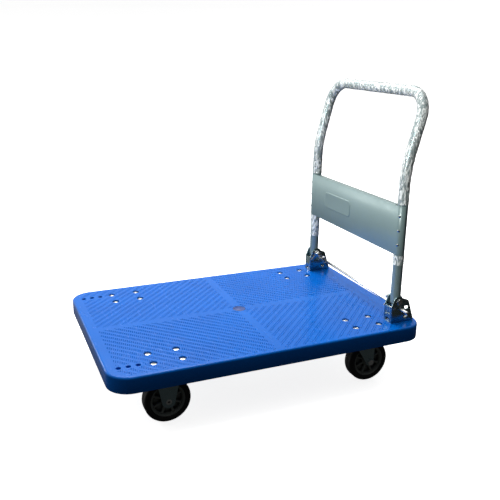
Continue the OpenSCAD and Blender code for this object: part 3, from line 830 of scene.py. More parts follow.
    def spans(self, fixed: float, along_x: bool, half: float) -> list[tuple[float, float]]:
        """Where one rib runs, broken at the caster pockets and the boss at the middle.

        Args:
            fixed: the rib's place across its run.
            along_x: whether it runs along X.
            half: half the deck's inner length along the run.

        Returns:
            Start and end of each unbroken stretch.
        """
        a, b = (0, 1) if along_x else (1, 0)
        blocks = []
        for corner in self.corners():
            if abs(fixed - corner[b]) < self.pocket[b] / 2 + self.rib_t:
                blocks.append((corner[a] - self.pocket[a] / 2, corner[a] + self.pocket[a] / 2))
        blocks = sorted(set(blocks))
        out, start = [], -half
        for low, high in blocks:
            if low > start:
                out.append((start, low))
            start = max(start, high)
        out.append((start, half))
        return [(s, e) for s, e in out if e - s > 2 * MM]

    def build_ribs(self) -> None:
        """The rib grid, the bosses and the pads over the caster plates."""
        mesh = bmesh.new()
        low, high = self.bottom + 6 * MM, self.top - self.top_t + 0.5 * MM
        half = self.rib_t / 2
        lx, ly = self.half_l - self.wall / 2, self.half_w - self.wall / 2
        for i in range(-5, 6):
            x = i * self.rib_pitch
            for s, e in self.spans(x, False, ly):
                block(mesh, (x - half, s, low), (x + half, e, high))
        for i in range(-3, 4):
            y = i * self.rib_pitch
            for s, e in self.spans(y, True, lx):
                block(mesh, (s, y - half, low), (e, y + half, high - 0.1 * MM))
        px, py = self.pocket[0] / 2, self.pocket[1] / 2
        for x, y in self.corners():
            block(mesh, (x - px, y - py, self.plate_z), (x + px, y + py, self.plate_z + 4 * MM))
        ribs = bevelled(as_object("deck_ribs", mesh), 0.5 * MM)
        self.shop.fit(ribs, "chassis", "deck_plastic")
        bosses = bmesh.new()
        for x, y in self.row_centres(-1) + self.row_centres(1):
            inner = 6.5 * MM if x < 0 else 4.5 * MM
            lathe([(inner, self.boss_z), (10.4 * MM, self.boss_z), (11 * MM, self.boss_z + 0.6 * MM),
                   (11 * MM, high), (inner, high)], 36, Matrix.Translation((x, y, 0)), True, bosses)
        for x, y in self.bolt_centres():
            lathe([(4.6 * MM, self.plate_z), (14 * MM, self.plate_z), (14 * MM, high),
                   (4.6 * MM, self.top - self.bore_depth - 0.1 * MM)], 36,
                  Matrix.Translation((x, y, 0)), True, bosses)
        lathe([(10 * MM, self.boss_z), (23.4 * MM, self.boss_z), (24 * MM, self.boss_z + 0.6 * MM),
               (24 * MM, high), (10 * MM, high)], 48, Matrix.Identity(4), True, bosses)
        self.shop.build("deck_bosses", bosses, "chassis", "deck_plastic")

    def is_plain(self, x: float, y: float, margin: float) -> bool:
        """Whether a tread dash would meet a hole, a plain strip or the deck's border."""
        if abs(x) < 12 * MM or abs(y) < 12 * MM or x > 392 * MM:
            return True
        if abs(x) > self.half_l - 30 * MM or abs(y) > self.half_w - 16 * MM:
            return True
        cx, cy = self.half_l - self.corner, self.half_w - self.corner
        if abs(x) > cx and abs(y) > cy and math.hypot(abs(x) - cx, abs(y) - cy) > self.corner - 16 * MM:
            return True
        if math.hypot(x, y) < self.plug_r + 6 * MM:
            return True
        if any(math.hypot(x - hx, y - hy) < self.bore_r + margin for hx, hy in self.bolt_centres()):
            return True
        lx, ly = self.row
        return (abs(abs(x) - lx) < 45 * MM and abs(abs(y) - ly) < 27 * MM and x > 0) or (
            abs(abs(x) - lx) < 38 * MM and abs(abs(y) - ly) < 12 * MM)

    def build_tread(self) -> None:
        """The raised dashes: rows at 45 degrees that meet as diamonds about the middle."""
        mesh = bmesh.new()
        length, width = 2.0 * MM, 1.15 * MM
        root = self.top - 0.15 * MM
        reach = int((self.half_l + self.half_w) * math.sqrt(0.5) / self.dash_gap) + 1
        rows = int((self.half_l + self.half_w) * math.sqrt(0.5) / self.tread_gap) + 1
        for qx in (-1, 1):
            for qy in (-1, 1):
                # the rows of one quadrant run square to its own diagonal
                along = Vector((1.0, -qx * qy * 1.0)).normalized()
                across = Vector((qx * 1.0, qy * 1.0)).normalized()
                for row in range(rows):
                    for lane, lean in ((-1, 0.0), (1, 0.5)):
                        offset = (row + 0.5) * self.tread_gap + lane * 2.6 * MM
                        for i in range(-reach, reach):
                            at = across * offset + along * (i + lean) * self.dash_gap
                            if at.x * qx <= 0 or at.y * qy <= 0 or self.is_plain(at.x, at.y, 3 * MM):
                                continue
                            self.add_dash(mesh, at, along, across, length, width, root)
        self.shop.build("deck_tread", mesh, "chassis", "deck_plastic", angle=60)

    def add_dash(self, mesh: bmesh.types.BMesh, at: Vector, along: Vector, across: Vector,
                 length: float, width: float, root: float) -> None:
        """One raised dash, a small dome with a long hexagonal foot."""
        foot, crown = [], []
        for i in range(6):
            a = TAU * i / 6
            p = along * length * math.cos(a) + across * width * math.sin(a)
            foot.append(mesh.verts.new((at.x + p.x, at.y + p.y, root)))
            crown.append(mesh.verts.new((at.x + 0.55 * p.x, at.y + 0.55 * p.y, self.top + self.dash_h)))
        for i in range(6):
            j = (i + 1) % 6
            mesh.faces.new((foot[i], foot[j], crown[j], crown[i]))
        mesh.faces.new(crown)
        mesh.faces.new(foot[::-1])

    def build_plug(self) -> None:
        """The plug in the middle of the deck, a dished button with a stem."""
        z = self.top - 0.6 * MM
        r = self.plug_r
        mesh = lathe([(0.0, self.boss_z - 3 * MM), (8.6 * MM, self.boss_z - 3 * MM),
                      (9.5 * MM, self.boss_z - 2 * MM), (9.5 * MM, self.top - 3 * MM),
                      (r, self.top - 3 * MM), (r, z - 0.8 * MM), (r - 0.8 * MM, z), (r - 4 * MM, z),
                      (r - 5 * MM, z - 0.9 * MM), (7 * MM, z - 0.9 * MM), (5 * MM, z - 0.5 * MM),
                      (0.0, z - 0.4 * MM)], 64, Matrix.Identity(4), False)
        self.shop.build("centre_button", mesh, "chassis", "plug_plastic", "centre_plug")

    def build(self) -> None:
        """Builds the whole deck."""
        self.build_shell()
        self.build_ribs()
        self.build_tread()
        self.build_plug()


# ---------------------------------------------------------------- hinge brackets


@dataclass
class Hinge:
    """One hinge bracket with its bolts, pivot, stop pin and torsion spring."""

    shop: Workshop
    side: Side
    pivot: tuple[float, float] = (383 * MM, 64 * MM)
    sheet: float = 3 * MM
    outer: float = 18 * MM
    rod: tuple[float, float] = (395.75 * MM, 43.5 * MM)
    slot_r: float = 4.9 * MM
    wire_r: float = 1.5 * MM
    coil_r: float = 8.5 * MM

    def __post_init__(self) -> None:
        """Reads the bracket's box and keeps its seat height."""
        self.low, self.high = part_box(f"hinge_bracket_{self.side.word}")
        self.seat = self.low.z
        self.mid = (self.low.y + self.high.y) / 2
        self.sign = self.side.value
        self.pivot_place = Vector((self.pivot[0], self.mid, self.seat + self.pivot[1]))

    def cheek_outline(self) -> list[tuple[float, float]]:
        """A cheek's edge: straight front, a lobe over the pivot and a lower one behind."""
        px, pz = self.pivot
        x0, x1 = self.low.x, self.high.x
        big, small = 15.5 * MM, 13 * MM
        lobe = arc(px, pz, big, 168, 38, 16)
        shoulder = arc(px + 24 * MM, pz - 9 * MM, small, 82, 8, 10)
        return ([(x0, 0.0), (x0, 50 * MM)] + arc(x0 + 2.4 * MM, 51 * MM, 2.4 * MM, 180, 150, 3)
                + lobe + shoulder + [(x1 - 0.2 * MM, 6 * MM)] + arc(x1 - 3.2 * MM, 3 * MM, 3 * MM, 0, -90, 5))

    def cheek_holes(self) -> list[list[tuple[float, float]]]:
        """Pivot hole, stop pin hole, slot for the rod and the teardrop."""
        px, pz = self.pivot
        rx, rz = self.rod
        front, back = rx - 14.0 * MM + self.slot_r, rx + 21.8 * MM - self.slot_r
        slot = arc(back, rz, self.slot_r, -90, 90, 12) + arc(front, rz, self.slot_r, 90, 270, 12)
        drop = arc(px + 28 * MM, 17 * MM, 7 * MM, -20, 200, 20) + [(px + 28 * MM, 6 * MM)]
        return [circle(px, pz, 5.05 * MM), circle(px - 13.5 * MM, rz + 0.5 * MM, 3 * MM), slot, drop]

    def standing(self, y: float) -> Matrix:
        """A plane that stands along X, its thickness towards +Y from y."""
        return Matrix.Translation((0, y, self.seat)) @ Matrix(
            ((1, 0, 0, 0), (0, 0, 1, 0), (0, 1, 0, 0), (0, 0, 0, 1)))

    def build_sheet(self) -> None:
        """The bent sheet: two cheeks, a base and a front web with a notch."""
        outer, t = self.outer, self.sheet
        body = bmesh.new()
        for y in (self.mid - outer, self.mid + outer - t):
            cheek = plate("cheek_work", self.cheek_outline(), self.cheek_holes(), t, self.standing(y),
                          0.45 * MM)
            body.from_mesh(cheek.data)
            bpy.data.objects.remove(cheek)
        x0, x1 = self.low.x, self.high.x
        row = [circle(self.shop_row(i), 0, 4.5 * MM, 32) for i in (-1, 0, 1)]
        inner = outer - t + 0.3 * MM
        base = plate("base_work", rounded([(x0 + 0.2 * MM, -inner), (x1 - MM, -inner), (x1 - MM, inner),
                                           (x0 + 0.2 * MM, inner)], 1.5 * MM), row, t,
                     Matrix.Translation((0, self.mid, self.seat)), 0.4 * MM)
        web_h, notch = 48 * MM, 9.5 * MM
        edge = rounded([(-inner, 0.2 * MM), (-notch, 0.2 * MM), (-notch, t + notch), (notch, t + notch),
                        (notch, 0.2 * MM), (inner, 0.2 * MM), (inner, web_h), (-inner, web_h)],
                       [0.5 * MM, 0.5 * MM, 3 * MM, 3 * MM, 0.5 * MM, 0.5 * MM, 2 * MM, 2 * MM])
        face = Matrix.Translation((x0, self.mid, self.seat)) @ Matrix(
            ((0, 0, 1, 0), (1, 0, 0, 0), (0, 1, 0, 0), (0, 0, 0, 1)))
        web = plate("web_work", edge, [], t, face, 0.4 * MM)
        for work in (base, web):
            body.from_mesh(work.data)
            bpy.data.objects.remove(work)
        for y in (self.mid - outer, self.mid + outer):
            fold = 2.2 * MM
            s = 1 if y < self.mid else -1
            path = [Vector((x0 + fold * 0.45, y + s * fold * 0.45, self.seat + z))
                    for z in (0.6 * MM, web_h - MM)]
            sweep(path, fold * 0.62, 16, body)
        piece = as_object(f"bracket_{self.side.word}", body, 45)
        self.shop.fit(piece, "chassis", "zinc_sheet", f"hinge_bracket_{self.side.word}")

    def shop_row(self, i: int) -> float:
        """X of one bolt of the bracket's row of three."""
        return 393.5 * MM + i * 25 * MM

    def build_hardware(self) -> None:
        """Bracket bolts and nuts, the pivot bolt with washer and nut, and the stop pin."""
        mesh = bmesh.new()
        for i, spin in ((-1, 8.0), (0, 24.0), (1, 41.0)):
            x = self.shop_row(i)
            top = self.seat + self.sheet
            hex_head(mesh, turned(x, self.mid, top), 13 * MM, 5.3 * MM, True, spin)
            shaft(mesh, turned(x, self.mid, 0), 4 * MM, 150 * MM, top, (150 * MM, 162 * MM))
            hex_head(mesh, turned(x, self.mid, 160 * MM, "-Z"), 13 * MM, 6.5 * MM, True, spin)
        px, pz = self.pivot_place.x, self.pivot_place.z
        s = self.sign
        face = self.mid + s * self.outer
        outward, inward = ("Y", "-Y") if s > 0 else ("-Y", "Y")
        hex_head(mesh, turned(px, face, pz, outward), 16 * MM, 6.4 * MM, True, 12.0)
        shaft(mesh, turned(px, face, pz, outward), 5 * MM, -57 * MM, 0, (-57 * MM, -47 * MM))
        ring_plate(mesh, turned(px, self.mid - s * (self.outer + 10.5 * MM), pz, inward), 5.05 * MM,
                   10 * MM, 1.5 * MM)
        hex_head(mesh, turned(px, self.mid - s * (self.outer + 12 * MM), pz, inward), 16 * MM, 8 * MM,
                 True, 5.0)
        self.build_stop_pin(mesh, px - 13.5 * MM, self.seat + self.rod[1] + 0.5 * MM)
        self.shop.build(f"hinge_hardware_{self.side.word}", mesh, "chassis", "zinc_hardware",
                        *(("bracket_bolts", "bracket_nuts", "pivot_bolts", "pivot_washers", "pivot_nuts",
                           "stop_pins") if s > 0 else ()))

    def build_stop_pin(self, mesh: bmesh.types.BMesh, x: float, z: float) -> None:
        """The riveted pin that the spring's tail bears on."""
        half, head, r = self.outer, 1.5 * MM, 2.9 * MM
        inner_end = self.inner_pin_end()
        s = self.sign
        place = turned(x, self.mid, z, "Y" if s > 0 else "-Y")
        dome = [(4.2 * MM, half), (4.2 * MM, half + 0.7 * MM), (3.2 * MM, half + head), (0.0, half + head)]
        lathe([(0.0, -inner_end), (r - 0.5 * MM, -inner_end), (r, -inner_end + 0.5 * MM), (r, -half - head),
               (4.2 * MM, -half - head), (4.2 * MM, -half), (r, -half), (r, half)] + dome, 28, place,
               False, mesh)

    def inner_pin_end(self) -> float:
        """How far the stop pin reaches inward of the bracket's middle."""
        return self.mid * self.sign - self.innermost("stop_pins")

    def innermost(self, node: str) -> float:
        """The smallest distance of a node's vertices from the cart's middle plane."""
        return min(abs(v.co.y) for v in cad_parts[node].data.vertices)

    def build_spring(self) -> None:
        """The torsion spring: fixed turns with a tail, and a moving eye that holds the rod."""
        s, w = self.sign, self.wire_r
        px, pz = self.pivot_place.x, self.pivot_place.z
        start_y = abs(self.mid) - self.outer - 2 * MM
        points, turns, steps = [], 1.0, 28
        for i in range(int(turns * steps) + 1):
            a = math.radians(225) + TAU * i / steps
            y = start_y - 2.9 * MM * i / steps
            points.append(Vector((px + self.coil_r * math.cos(a), s * y, pz + self.coil_r * math.sin(a))))
        a = math.radians(225)
        out = Vector((math.cos(a), 0, math.sin(a)))
        tail = [points[-1] + out * (k * 2 * MM) for k in range(1, 12)]
        self.shop.build(f"spring_fixed_{self.side.word}", sweep(points + tail, w, 14), "chassis",
                        "spring_steel",
                        *(("spring_coils",) if s > 0 else ()))
        self.build_arm(px, pz)

    def build_arm(self, px: float, pz: float) -> None:
        """The spring's moving end, one turn of wire and a long eye over the rod."""
        w = self.wire_r
        node = f"spring_arm_{self.side.word}"
        low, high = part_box(node)
        y = (low.y + high.y) / 2
        rod_x = self.rod[0] + y * math.tan(math.radians(1.93))
        reach, drop = rod_x - px, self.pivot[1] - self.rod[1]
        along = Vector((reach, 0, -drop)).normalized()
        side = Vector((along.z, 0, -along.x)) * -1
        length, gap = math.hypot(reach, drop) + 14 * MM, 6.6 * MM
        centre_line = Vector((px, y, pz))
        ring = [centre_line + self.coil_r * (math.cos(TAU * i / 32 + 0.7) * along
                                             + math.sin(TAU * i / 32 + 0.7) * side)
                for i in range(33)]
        eye = [centre_line + along * 6 * MM + side * gap, centre_line + along * length * 0.5 + side * gap,
               centre_line + along * length + side * gap]
        eye += [centre_line + along * (length + gap * math.sin(math.pi * i / 14))
                + side * gap * math.cos(math.pi * i / 14) for i in range(1, 14)]
        eye += [centre_line + along * length - side * gap, centre_line + along * length * 0.5 - side * gap,
                centre_line + along * 6 * MM - side * gap]
        mesh = sweep(ring, w, 14, caps=False)
        sweep(eye, w, 14, mesh)
        self.shop.build(f"spring_eye_{self.side.word}", mesh, f"spring_{self.side.word}",
                        "spring_steel", node)

    def build(self) -> None:
        """Builds the whole hinge."""
        self.build_sheet()
        self.build_hardware()
        self.build_spring()


@dataclass
class LockBar:
    """The drawn rod that joins both hinges, and its two clips."""

    shop: Workshop
    skew: float = math.radians(1.93)
    place: Point = (395.75 * MM, 0.0, 226.5 * MM)
    radius: float = 4.5 * MM
    left_end: float = -303 * MM
    right_end: float = 269 * MM

    def axis(self, y: float) -> Matrix:
        """A place on the rod, its Z axis along the rod towards -Y."""
        return (Matrix.Translation(self.place) @ Matrix.Rotation(-self.skew, 4, "Z")
                @ Matrix.Translation((0, y, 0)) @ Matrix.Rotation(math.pi / 2, 4, "X"))

    def build(self) -> None:
        """The rod with chamfered ends, then the spring clips."""
        r, tip = self.radius, 2 * MM
        length = self.right_end - self.left_end
        rod = lathe([(0.0, 0.0), (r - tip * 0.9, 0.0), (r - 0.3 * MM, tip * 0.8), (r, tip * 1.2),
                     (r, length - tip * 1.2), (r - 0.3 * MM, length - tip * 0.8), (r - tip * 0.9, length),
                     (0.0, length)], 40, self.axis(self.right_end), False)
        self.shop.build("release_rod", rod, "lock_bar", "rod_steel", "lock_rod")
        clips = bmesh.new()
        for y in (self.right_end - 2.1 * MM, -211 * MM):
            ring_plate(clips, self.axis(y), r + 0.02 * MM, r + 3.5 * MM, 1.5 * MM)
        self.shop.build("rod_rings", clips, "lock_bar", "zinc_hardware", "rod_clips")


# ---------------------------------------------------------------- handle


@dataclass
class Handle:
    """The bent tube, its panel with rivets, and the film still wrapped round the tube."""

    shop: Workshop
    tube_r: float = 14.5 * MM
    tube_t: float = 1.5 * MM
    film_r: float = 16 * MM
    y: float = 245 * MM
    pivot_x: float = 383 * MM
    pivot_h: float = 64 * MM
    grip_h: float = 642 * MM
    bend: float = math.radians(15)
    bend_r: float = 387 * MM
    top_r: float = 70 * MM
    panel: tuple[float, float] = (202 * MM, 341 * MM)
    panel_t: float = 1.2 * MM
    panel_gap: float = 0.1 * MM
    film_low: tuple[float, float] = (172 * MM, 126 * MM)
    deck_top: float = 183 * MM
    half_length: float = 452 * MM
    seed: int = 7

    def __post_init__(self) -> None:
        """Works out where the gentle bend starts."""
        run_back = self.half_length - self.film_r - self.pivot_x - self.bend_r * (1 - math.cos(self.bend))
        self.slope = run_back / math.sin(self.bend)
        self.bend_h = self.grip_h - self.slope * math.cos(self.bend) - self.bend_r * math.sin(self.bend)

    def side_path(self, sign: int, start_h: float, step: float) -> list[Vector]:
        """The centre line of one upright, from start_h above the deck to its top corner."""
        points = []
        count = max(2, int((self.bend_h - start_h) / step))
        for i in range(count):
            h = start_h + (self.bend_h - start_h) * i / count
            points.append(Vector((self.pivot_x, sign * self.y, self.deck_top + h)))
        arc_count = max(8, int(self.bend_r * self.bend / step))
        for i in range(arc_count):
            a = self.bend * i / arc_count
            points.append(Vector((self.pivot_x + self.bend_r * (1 - math.cos(a)), sign * self.y,
                                  self.deck_top + self.bend_h + self.bend_r * math.sin(a))))
        corner = points[0].copy()
        corner.x = self.pivot_x + self.bend_r * (1 - math.cos(self.bend))
        corner.z = self.deck_top + self.bend_h + self.bend_r * math.sin(self.bend)
        up = Vector((math.sin(self.bend), 0, math.cos(self.bend)))
        straight = self.slope - self.top_r
        count = max(2, int(straight / step))
        points += [corner + up * straight * i / count for i in range(count)]
        centre_y = sign * (self.y - self.top_r)
        base = corner + up * straight
        arc_count = max(10, int(self.top_r * math.pi / 2 / step))
        for i in range(arc_count + 1):
            a = math.pi / 2 * i / arc_count
            points.append(Vector((base.x, centre_y + sign * self.top_r * math.cos(a), base.z))
                          + (up * self.top_r * math.sin(a)))
        return points

    def path(self, start_left: float, start_right: float, step: float) -> list[Vector]:
        """The whole centre line, from the left upright over the top to the right one."""
        left = self.side_path(-1, start_left, step)
        right = self.side_path(1, start_right, step)
        gap = right[-1] - left[-1]
        count = max(3, int(gap.length / step))
        bar = [left[-1] + gap * i / count for i in range(1, count)]
        return left + bar + right[::-1]

    def build_tube(self) -> None:
        """The round tube, with rounded heels at the pivots."""
        r = self.tube_r
        mesh = bmesh.new()
        line = self.path(self.pivot_h, self.pivot_h, 8 * MM)
        sweep(line, r, 48, mesh, caps=False)
        for sign in (-1, 1):
            place = Matrix.Translation((self.pivot_x, sign * self.y, self.deck_top + self.pivot_h))
            rows, around, heel = 10, 48, 15 * MM
            ring_last = None
            for k in range(rows + 1):
                t = k / rows
                ring = []
                for i in range(around):
                    a = TAU * i / around
                    x, yy = r * math.cos(a), r * math.sin(a)
                    drop = math.sqrt(max(heel * heel - x * x, 0))
                    ring.append(mesh.verts.new(place @ Vector((x, yy, -t * drop))))
                if ring_last:
                    for i in range(around):
                        j = (i + 1) % around
                        mesh.faces.new((ring_last[i], ring_last[j], ring[j], ring[i]))
                ring_last = ring
            lip = []
            for i in range(around):
                a = TAU * i / around
                x, yy = (r - self.tube_t) * math.cos(a), (r - self.tube_t) * math.sin(a)
                drop = math.sqrt(max(heel * heel - x * x, 0))
                lip.append(mesh.verts.new(place @ Vector((x, yy, -drop))))
            for i in range(around):
                j = (i + 1) % around
                mesh.faces.new((ring_last[i], ring_last[j], lip[j], lip[i]))
        bmesh.ops.remove_doubles(mesh, verts=mesh.verts, dist=1e-5)
        self.shop.build("push_tube", mesh, "handle", "tube_steel", "handle_tube", angle=40)

    def build_heels(self) -> None:
        """The plastic inserts in the tube's ends and the sleeves on the pivot bolts."""
        mesh = bmesh.new()
        bushes = bmesh.new()
        r = self.tube_r - self.tube_t - 0.05 * MM
        for sign in (-1, 1):
            place = Matrix.Translation((self.pivot_x, sign * self.y, self.deck_top + self.pivot_h))
            rows, around, heel = 8, 40, 14.8 * MM
            rings = []
            for k in range(rows + 1):
                t = 1 - k / rows
                ring = []
                for i in range(around):
                    a = TAU * i / around
                    x, yy = r * math.cos(a), r * math.sin(a)
                    ring.append(mesh.verts.new(place @ Vector((x, yy, -t * math.sqrt(heel * heel - x * x)))))
                rings.append(ring)
            for low, high in zip(rings, rings[1:]):
                for i in range(around):
                    j = (i + 1) % around
                    mesh.faces.new((low[i], low[j], high[j], high[i]))
            foot = [mesh.verts.new(place @ Vector((0.55 * r * math.cos(TAU * i / around),
                                                   0.55 * r * math.sin(TAU * i / around), -13.4 * MM)))
                    for i in range(around)]
            for i in range(around):
                j = (i + 1) % around
                mesh.faces.new((foot[i], foot[j], rings[0][j], rings[0][i]))
            mesh.faces.new(foot[::-1])
            mesh.faces.new(rings[-1])
            half = 14.8 * MM
            lathe([(5.05 * MM, -half), (6.7 * MM, -half), (7 * MM, -half + 0.3 * MM),
                   (7 * MM, half - 0.3 * MM),
                   (6.7 * MM, half), (5.05 * MM, half)], 36, place @ Matrix.Rotation(math.pi / 2, 4, "X"),
                  True, bushes)
        self.shop.build("heel_inserts", mesh, "handle", "insert_plastic", "heel_plugs")
        self.shop.build("pivot_sleeves", bushes, "handle", "bush_metal", "pivot_bushes")

    def wrap(self, r: float, z: float, mesh: bmesh.types.BMesh, steps: int = 14) -> list:
        """One level of the panel's sheet: round one upright, across the front, round the other."""
        row = []
        for sign, order in ((-1, range(steps, -1, -1)), (1, range(steps + 1))):
            for k in order:
                a = math.radians(90 * k / steps)
                row.append(mesh.verts.new((self.pivot_x - r * math.cos(a),
                                           sign * (self.y + r * math.sin(a)), z)))
        return row

    def build_panel(self) -> None:
        """The pressed sheet: wrapped ends, folded edges and a raised field."""
        mesh = bmesh.new()
        inner = self.tube_r + self.panel_gap
        outer = inner + self.panel_t
        low, high = (self.deck_top + h for h in self.panel)
        soft = 0.35 * MM
        rows = [self.wrap(inner, low, mesh), self.wrap(outer - soft, low, mesh),
                self.wrap(outer, low + soft, mesh),
                self.wrap(outer, high - soft, mesh), self.wrap(outer - soft, high, mesh),
                self.wrap(inner, high, mesh)]
        for a, b in zip(rows, rows[1:] + [rows[0]]):
            for i in range(len(a) - 1):
                mesh.faces.new((a[i], a[i + 1], b[i + 1], b[i]))
        mesh.faces.new([row[0] for row in rows])
        mesh.faces.new([row[-1] for row in rows][::-1])
        front = self.pivot_x - outer
        self.add_flanges(mesh, front, low, high)
        self.add_field(mesh, front, (low + high) / 2 + 2 * MM)
        self.shop.build("grey_panel", mesh, "handle", "panel_paint", "handle_panel", angle=45)

    def add_flanges(self, mesh: bmesh.types.BMesh, front: float, low: float, high: float) -> None:
        """Rounded folds along the panel's lower and upper edges, the upper one with a lip."""
        reach, t, bend = 18 * MM, self.panel_t, 3.0 * MM
        half = self.y - self.film_r - 1.5 * MM
        for edge, sign, lip in ((low, 1, 0.0), (high, -1, 6 * MM)):
            line = [(front + 0.0, edge + sign * bend)]
            line += [(front + bend - bend * math.cos(math.radians(a)),
                      edge + sign * (bend - bend * math.sin(math.radians(a))))
                     for a in range(15, 91, 15)]
            end = front + reach
            if lip:
                b2 = 1.5 * MM
                line += [(end - b2 + b2 * math.sin(math.radians(a)),
                          edge + sign * (b2 - b2 * math.cos(math.radians(a))))
                         for a in range(0, 91, 30)]
                line.append((end, edge + sign * lip))
            else:
                line.append((end, edge))
            self.add_strip(mesh, line, t, half, sign)

    def add_strip(self, mesh: bmesh.types.BMesh, line: Sequence[tuple[float, float]], t: float,
                  half: float, sign: int) -> None:
        """A bent strip of sheet along Y, its outline given by its outer line in X and Z."""
        loops = []
        for y in (-half, half):
            outer = [mesh.verts.new((x, y, z)) for x, z in line]
            inner = []
            for k, (x, z) in enumerate(line):
                xa, za = line[max(k - 1, 0)]
                xb, zb = line[min(k + 1, len(line) - 1)]
                d = Vector((xb - xa, zb - za)).normalized()
                normal = Vector((-d.y, d.x)) * sign
                inner.append(mesh.verts.new((x + normal.x * t, y, z + normal.y * t)))
            loops.append(outer + inner[::-1])
        a, b = loops
        for i in range(len(a)):
            j = (i + 1) % len(a)
            mesh.faces.new((a[i], a[j], b[j], b[i]))
        mesh.faces.new(a[::-1])
        mesh.faces.new(b)

    def add_field(self, mesh: bmesh.types.BMesh, front: float, middle: float) -> None:
        """The raised field with rounded corners, pressed out of the panel's front."""
        half_l, half_h, centre_y, corner = 78 * MM, 26 * MM, 78 * MM, 12 * MM
        rings = []
        for inset, out in ((0.0, -0.3 * MM), (0.0, 0.15 * MM), (0.7 * MM, 0.9 * MM), (1.6 * MM, 1.5 * MM),
                           (3.0 * MM, 1.75 * MM), (5.0 * MM, 1.7 * MM)):
            r = corner - inset
            outline = []
            for sy, sz, start in ((1, 1, 0), (-1, 1, 90), (-1, -1, 180), (1, -1, 270)):
                outline += arc(sy * (half_l - corner), sz * (half_h - corner), r, start, start + 90, 8)
            rings.append([mesh.verts.new((front - out, centre_y + a, middle + b)) for a, b in outline])
        for a, b in zip(rings, rings[1:]):
            for i in range(len(a)):
                j = (i + 1) % len(a)
                mesh.faces.new((a[i], a[j], b[j], b[i]))
        mesh.faces.new(rings[-1])
        mesh.faces.new(rings[0][::-1])

    def build_rivets(self) -> None:
        """Three domed rivets on each wrapped end of the panel."""
        mesh = bmesh.new()
        mid = self.deck_top + sum(self.panel) / 2
        seat = self.tube_r + self.panel_gap + self.panel_t
        for sign in (-1, 1):
            for h in (-41 * MM, 0.0, 41 * MM):
                place = (Matrix.Translation((self.pivot_x, sign * self.y, mid + h))
                         @ Matrix.Rotation(-sign * math.radians(30), 4, "Z")
                         @ Matrix.Rotation(-math.pi / 2, 4, "Y"))
                dome = [(3.6 * MM, seat), (3.6 * MM, seat + 0.4 * MM)]
                dome += [(3.6 * MM * math.cos(math.radians(a)),
                          seat + 0.4 * MM + 1.2 * MM * math.sin(math.radians(a)))
                         for a in (25, 50, 72)]
                lathe([(0.0, seat - 5 * MM), (2 * MM, seat - 5 * MM), (2 * MM, seat)] + dome
                      + [(0.0, seat + 1.6 * MM)], 28, place, False, mesh)
        self.shop.build("panel_rivet_heads", mesh, "handle", "zinc_hardware", "panel_rivets")

    def crumple(self, k: int, a: float, point: Vector, ends: float) -> float:
        """The film's radius at one vertex: creases across, folds along, and a loose hem.

        Args:
            k: number of the ring along the tube; not used.
            a: angle round the ring.
            point: the ring's centre.
            ends: 1 at a cut end of the film and 0 away from it.

        Returns:
            The radius, between the tube and the film's outer size.
        """
        around = Vector((math.cos(a), math.sin(a), 0)) * 0.016
        where = point + around.xzy
        folds = noise(where * 70 + Vector((self.seed, 0, 0)))
        creases = noise(Vector((a * 2.2, (point.z + point.y) * 95, self.seed)))
        fine = noise(where * 260)
        lift = 0.52 + 0.5 * folds + 0.42 * creases + 0.3 * fine + 0.3 * ends
        gap = self.film_r - self.tube_r
        return self.tube_r + gap * (0.14 + 0.84 * min(max(lift, 0), 1))

    def build_film(self, name: str, line: list[Vector], node: str | None,
                   open_ends: tuple[bool, bool]) -> None:
        """One length of crumpled film round the tube."""
        count = len(line)

        def radius(k: int, a: float) -> float:
            """The film's radius at ring k and angle a."""
            near_start = max(0.0, 1 - k / 4) if open_ends[0] else 0.0
            near_end = max(0.0, 1 - (count - 1 - k) / 4) if open_ends[1] else 0.0
            return self.crumple(k, a, line[k], max(near_start, near_end))

        mesh = sweep(line, radius, 56, caps=False)
        piece = as_object(name, mesh, 50)
        self.shop.fit(piece, "handle", "film", *((node,) if node else ()))

    def build_films(self) -> None:
        """The long upper film, and the short lengths below the panel."""
        top = self.panel[1] + 4 * MM
        self.build_film("film_over_grip", self.path(top, top, 2.6 * MM), "film_upper", (True, True))
        for sign, low in zip((-1, 1), self.film_low):
            high = self.panel[0] - 2 * MM
            count = max(6, int((high - low) / (2.2 * MM)))
            line = [Vector((self.pivot_x, sign * self.y, self.deck_top + low + (high - low) * i / count))
                    for i in range(count + 1)]
            name = "film_hem_left" if sign < 0 else "film_hem_right"
            self.build_film(name, line, "film_lower" if sign > 0 else None, (True, False))

    def build(self) -> None:
        """Builds the whole handle."""
        self.build_tube()
        self.build_heels()
        self.build_panel()
        self.build_rivets()
        self.build_films()


# ---------------------------------------------------------------- casters


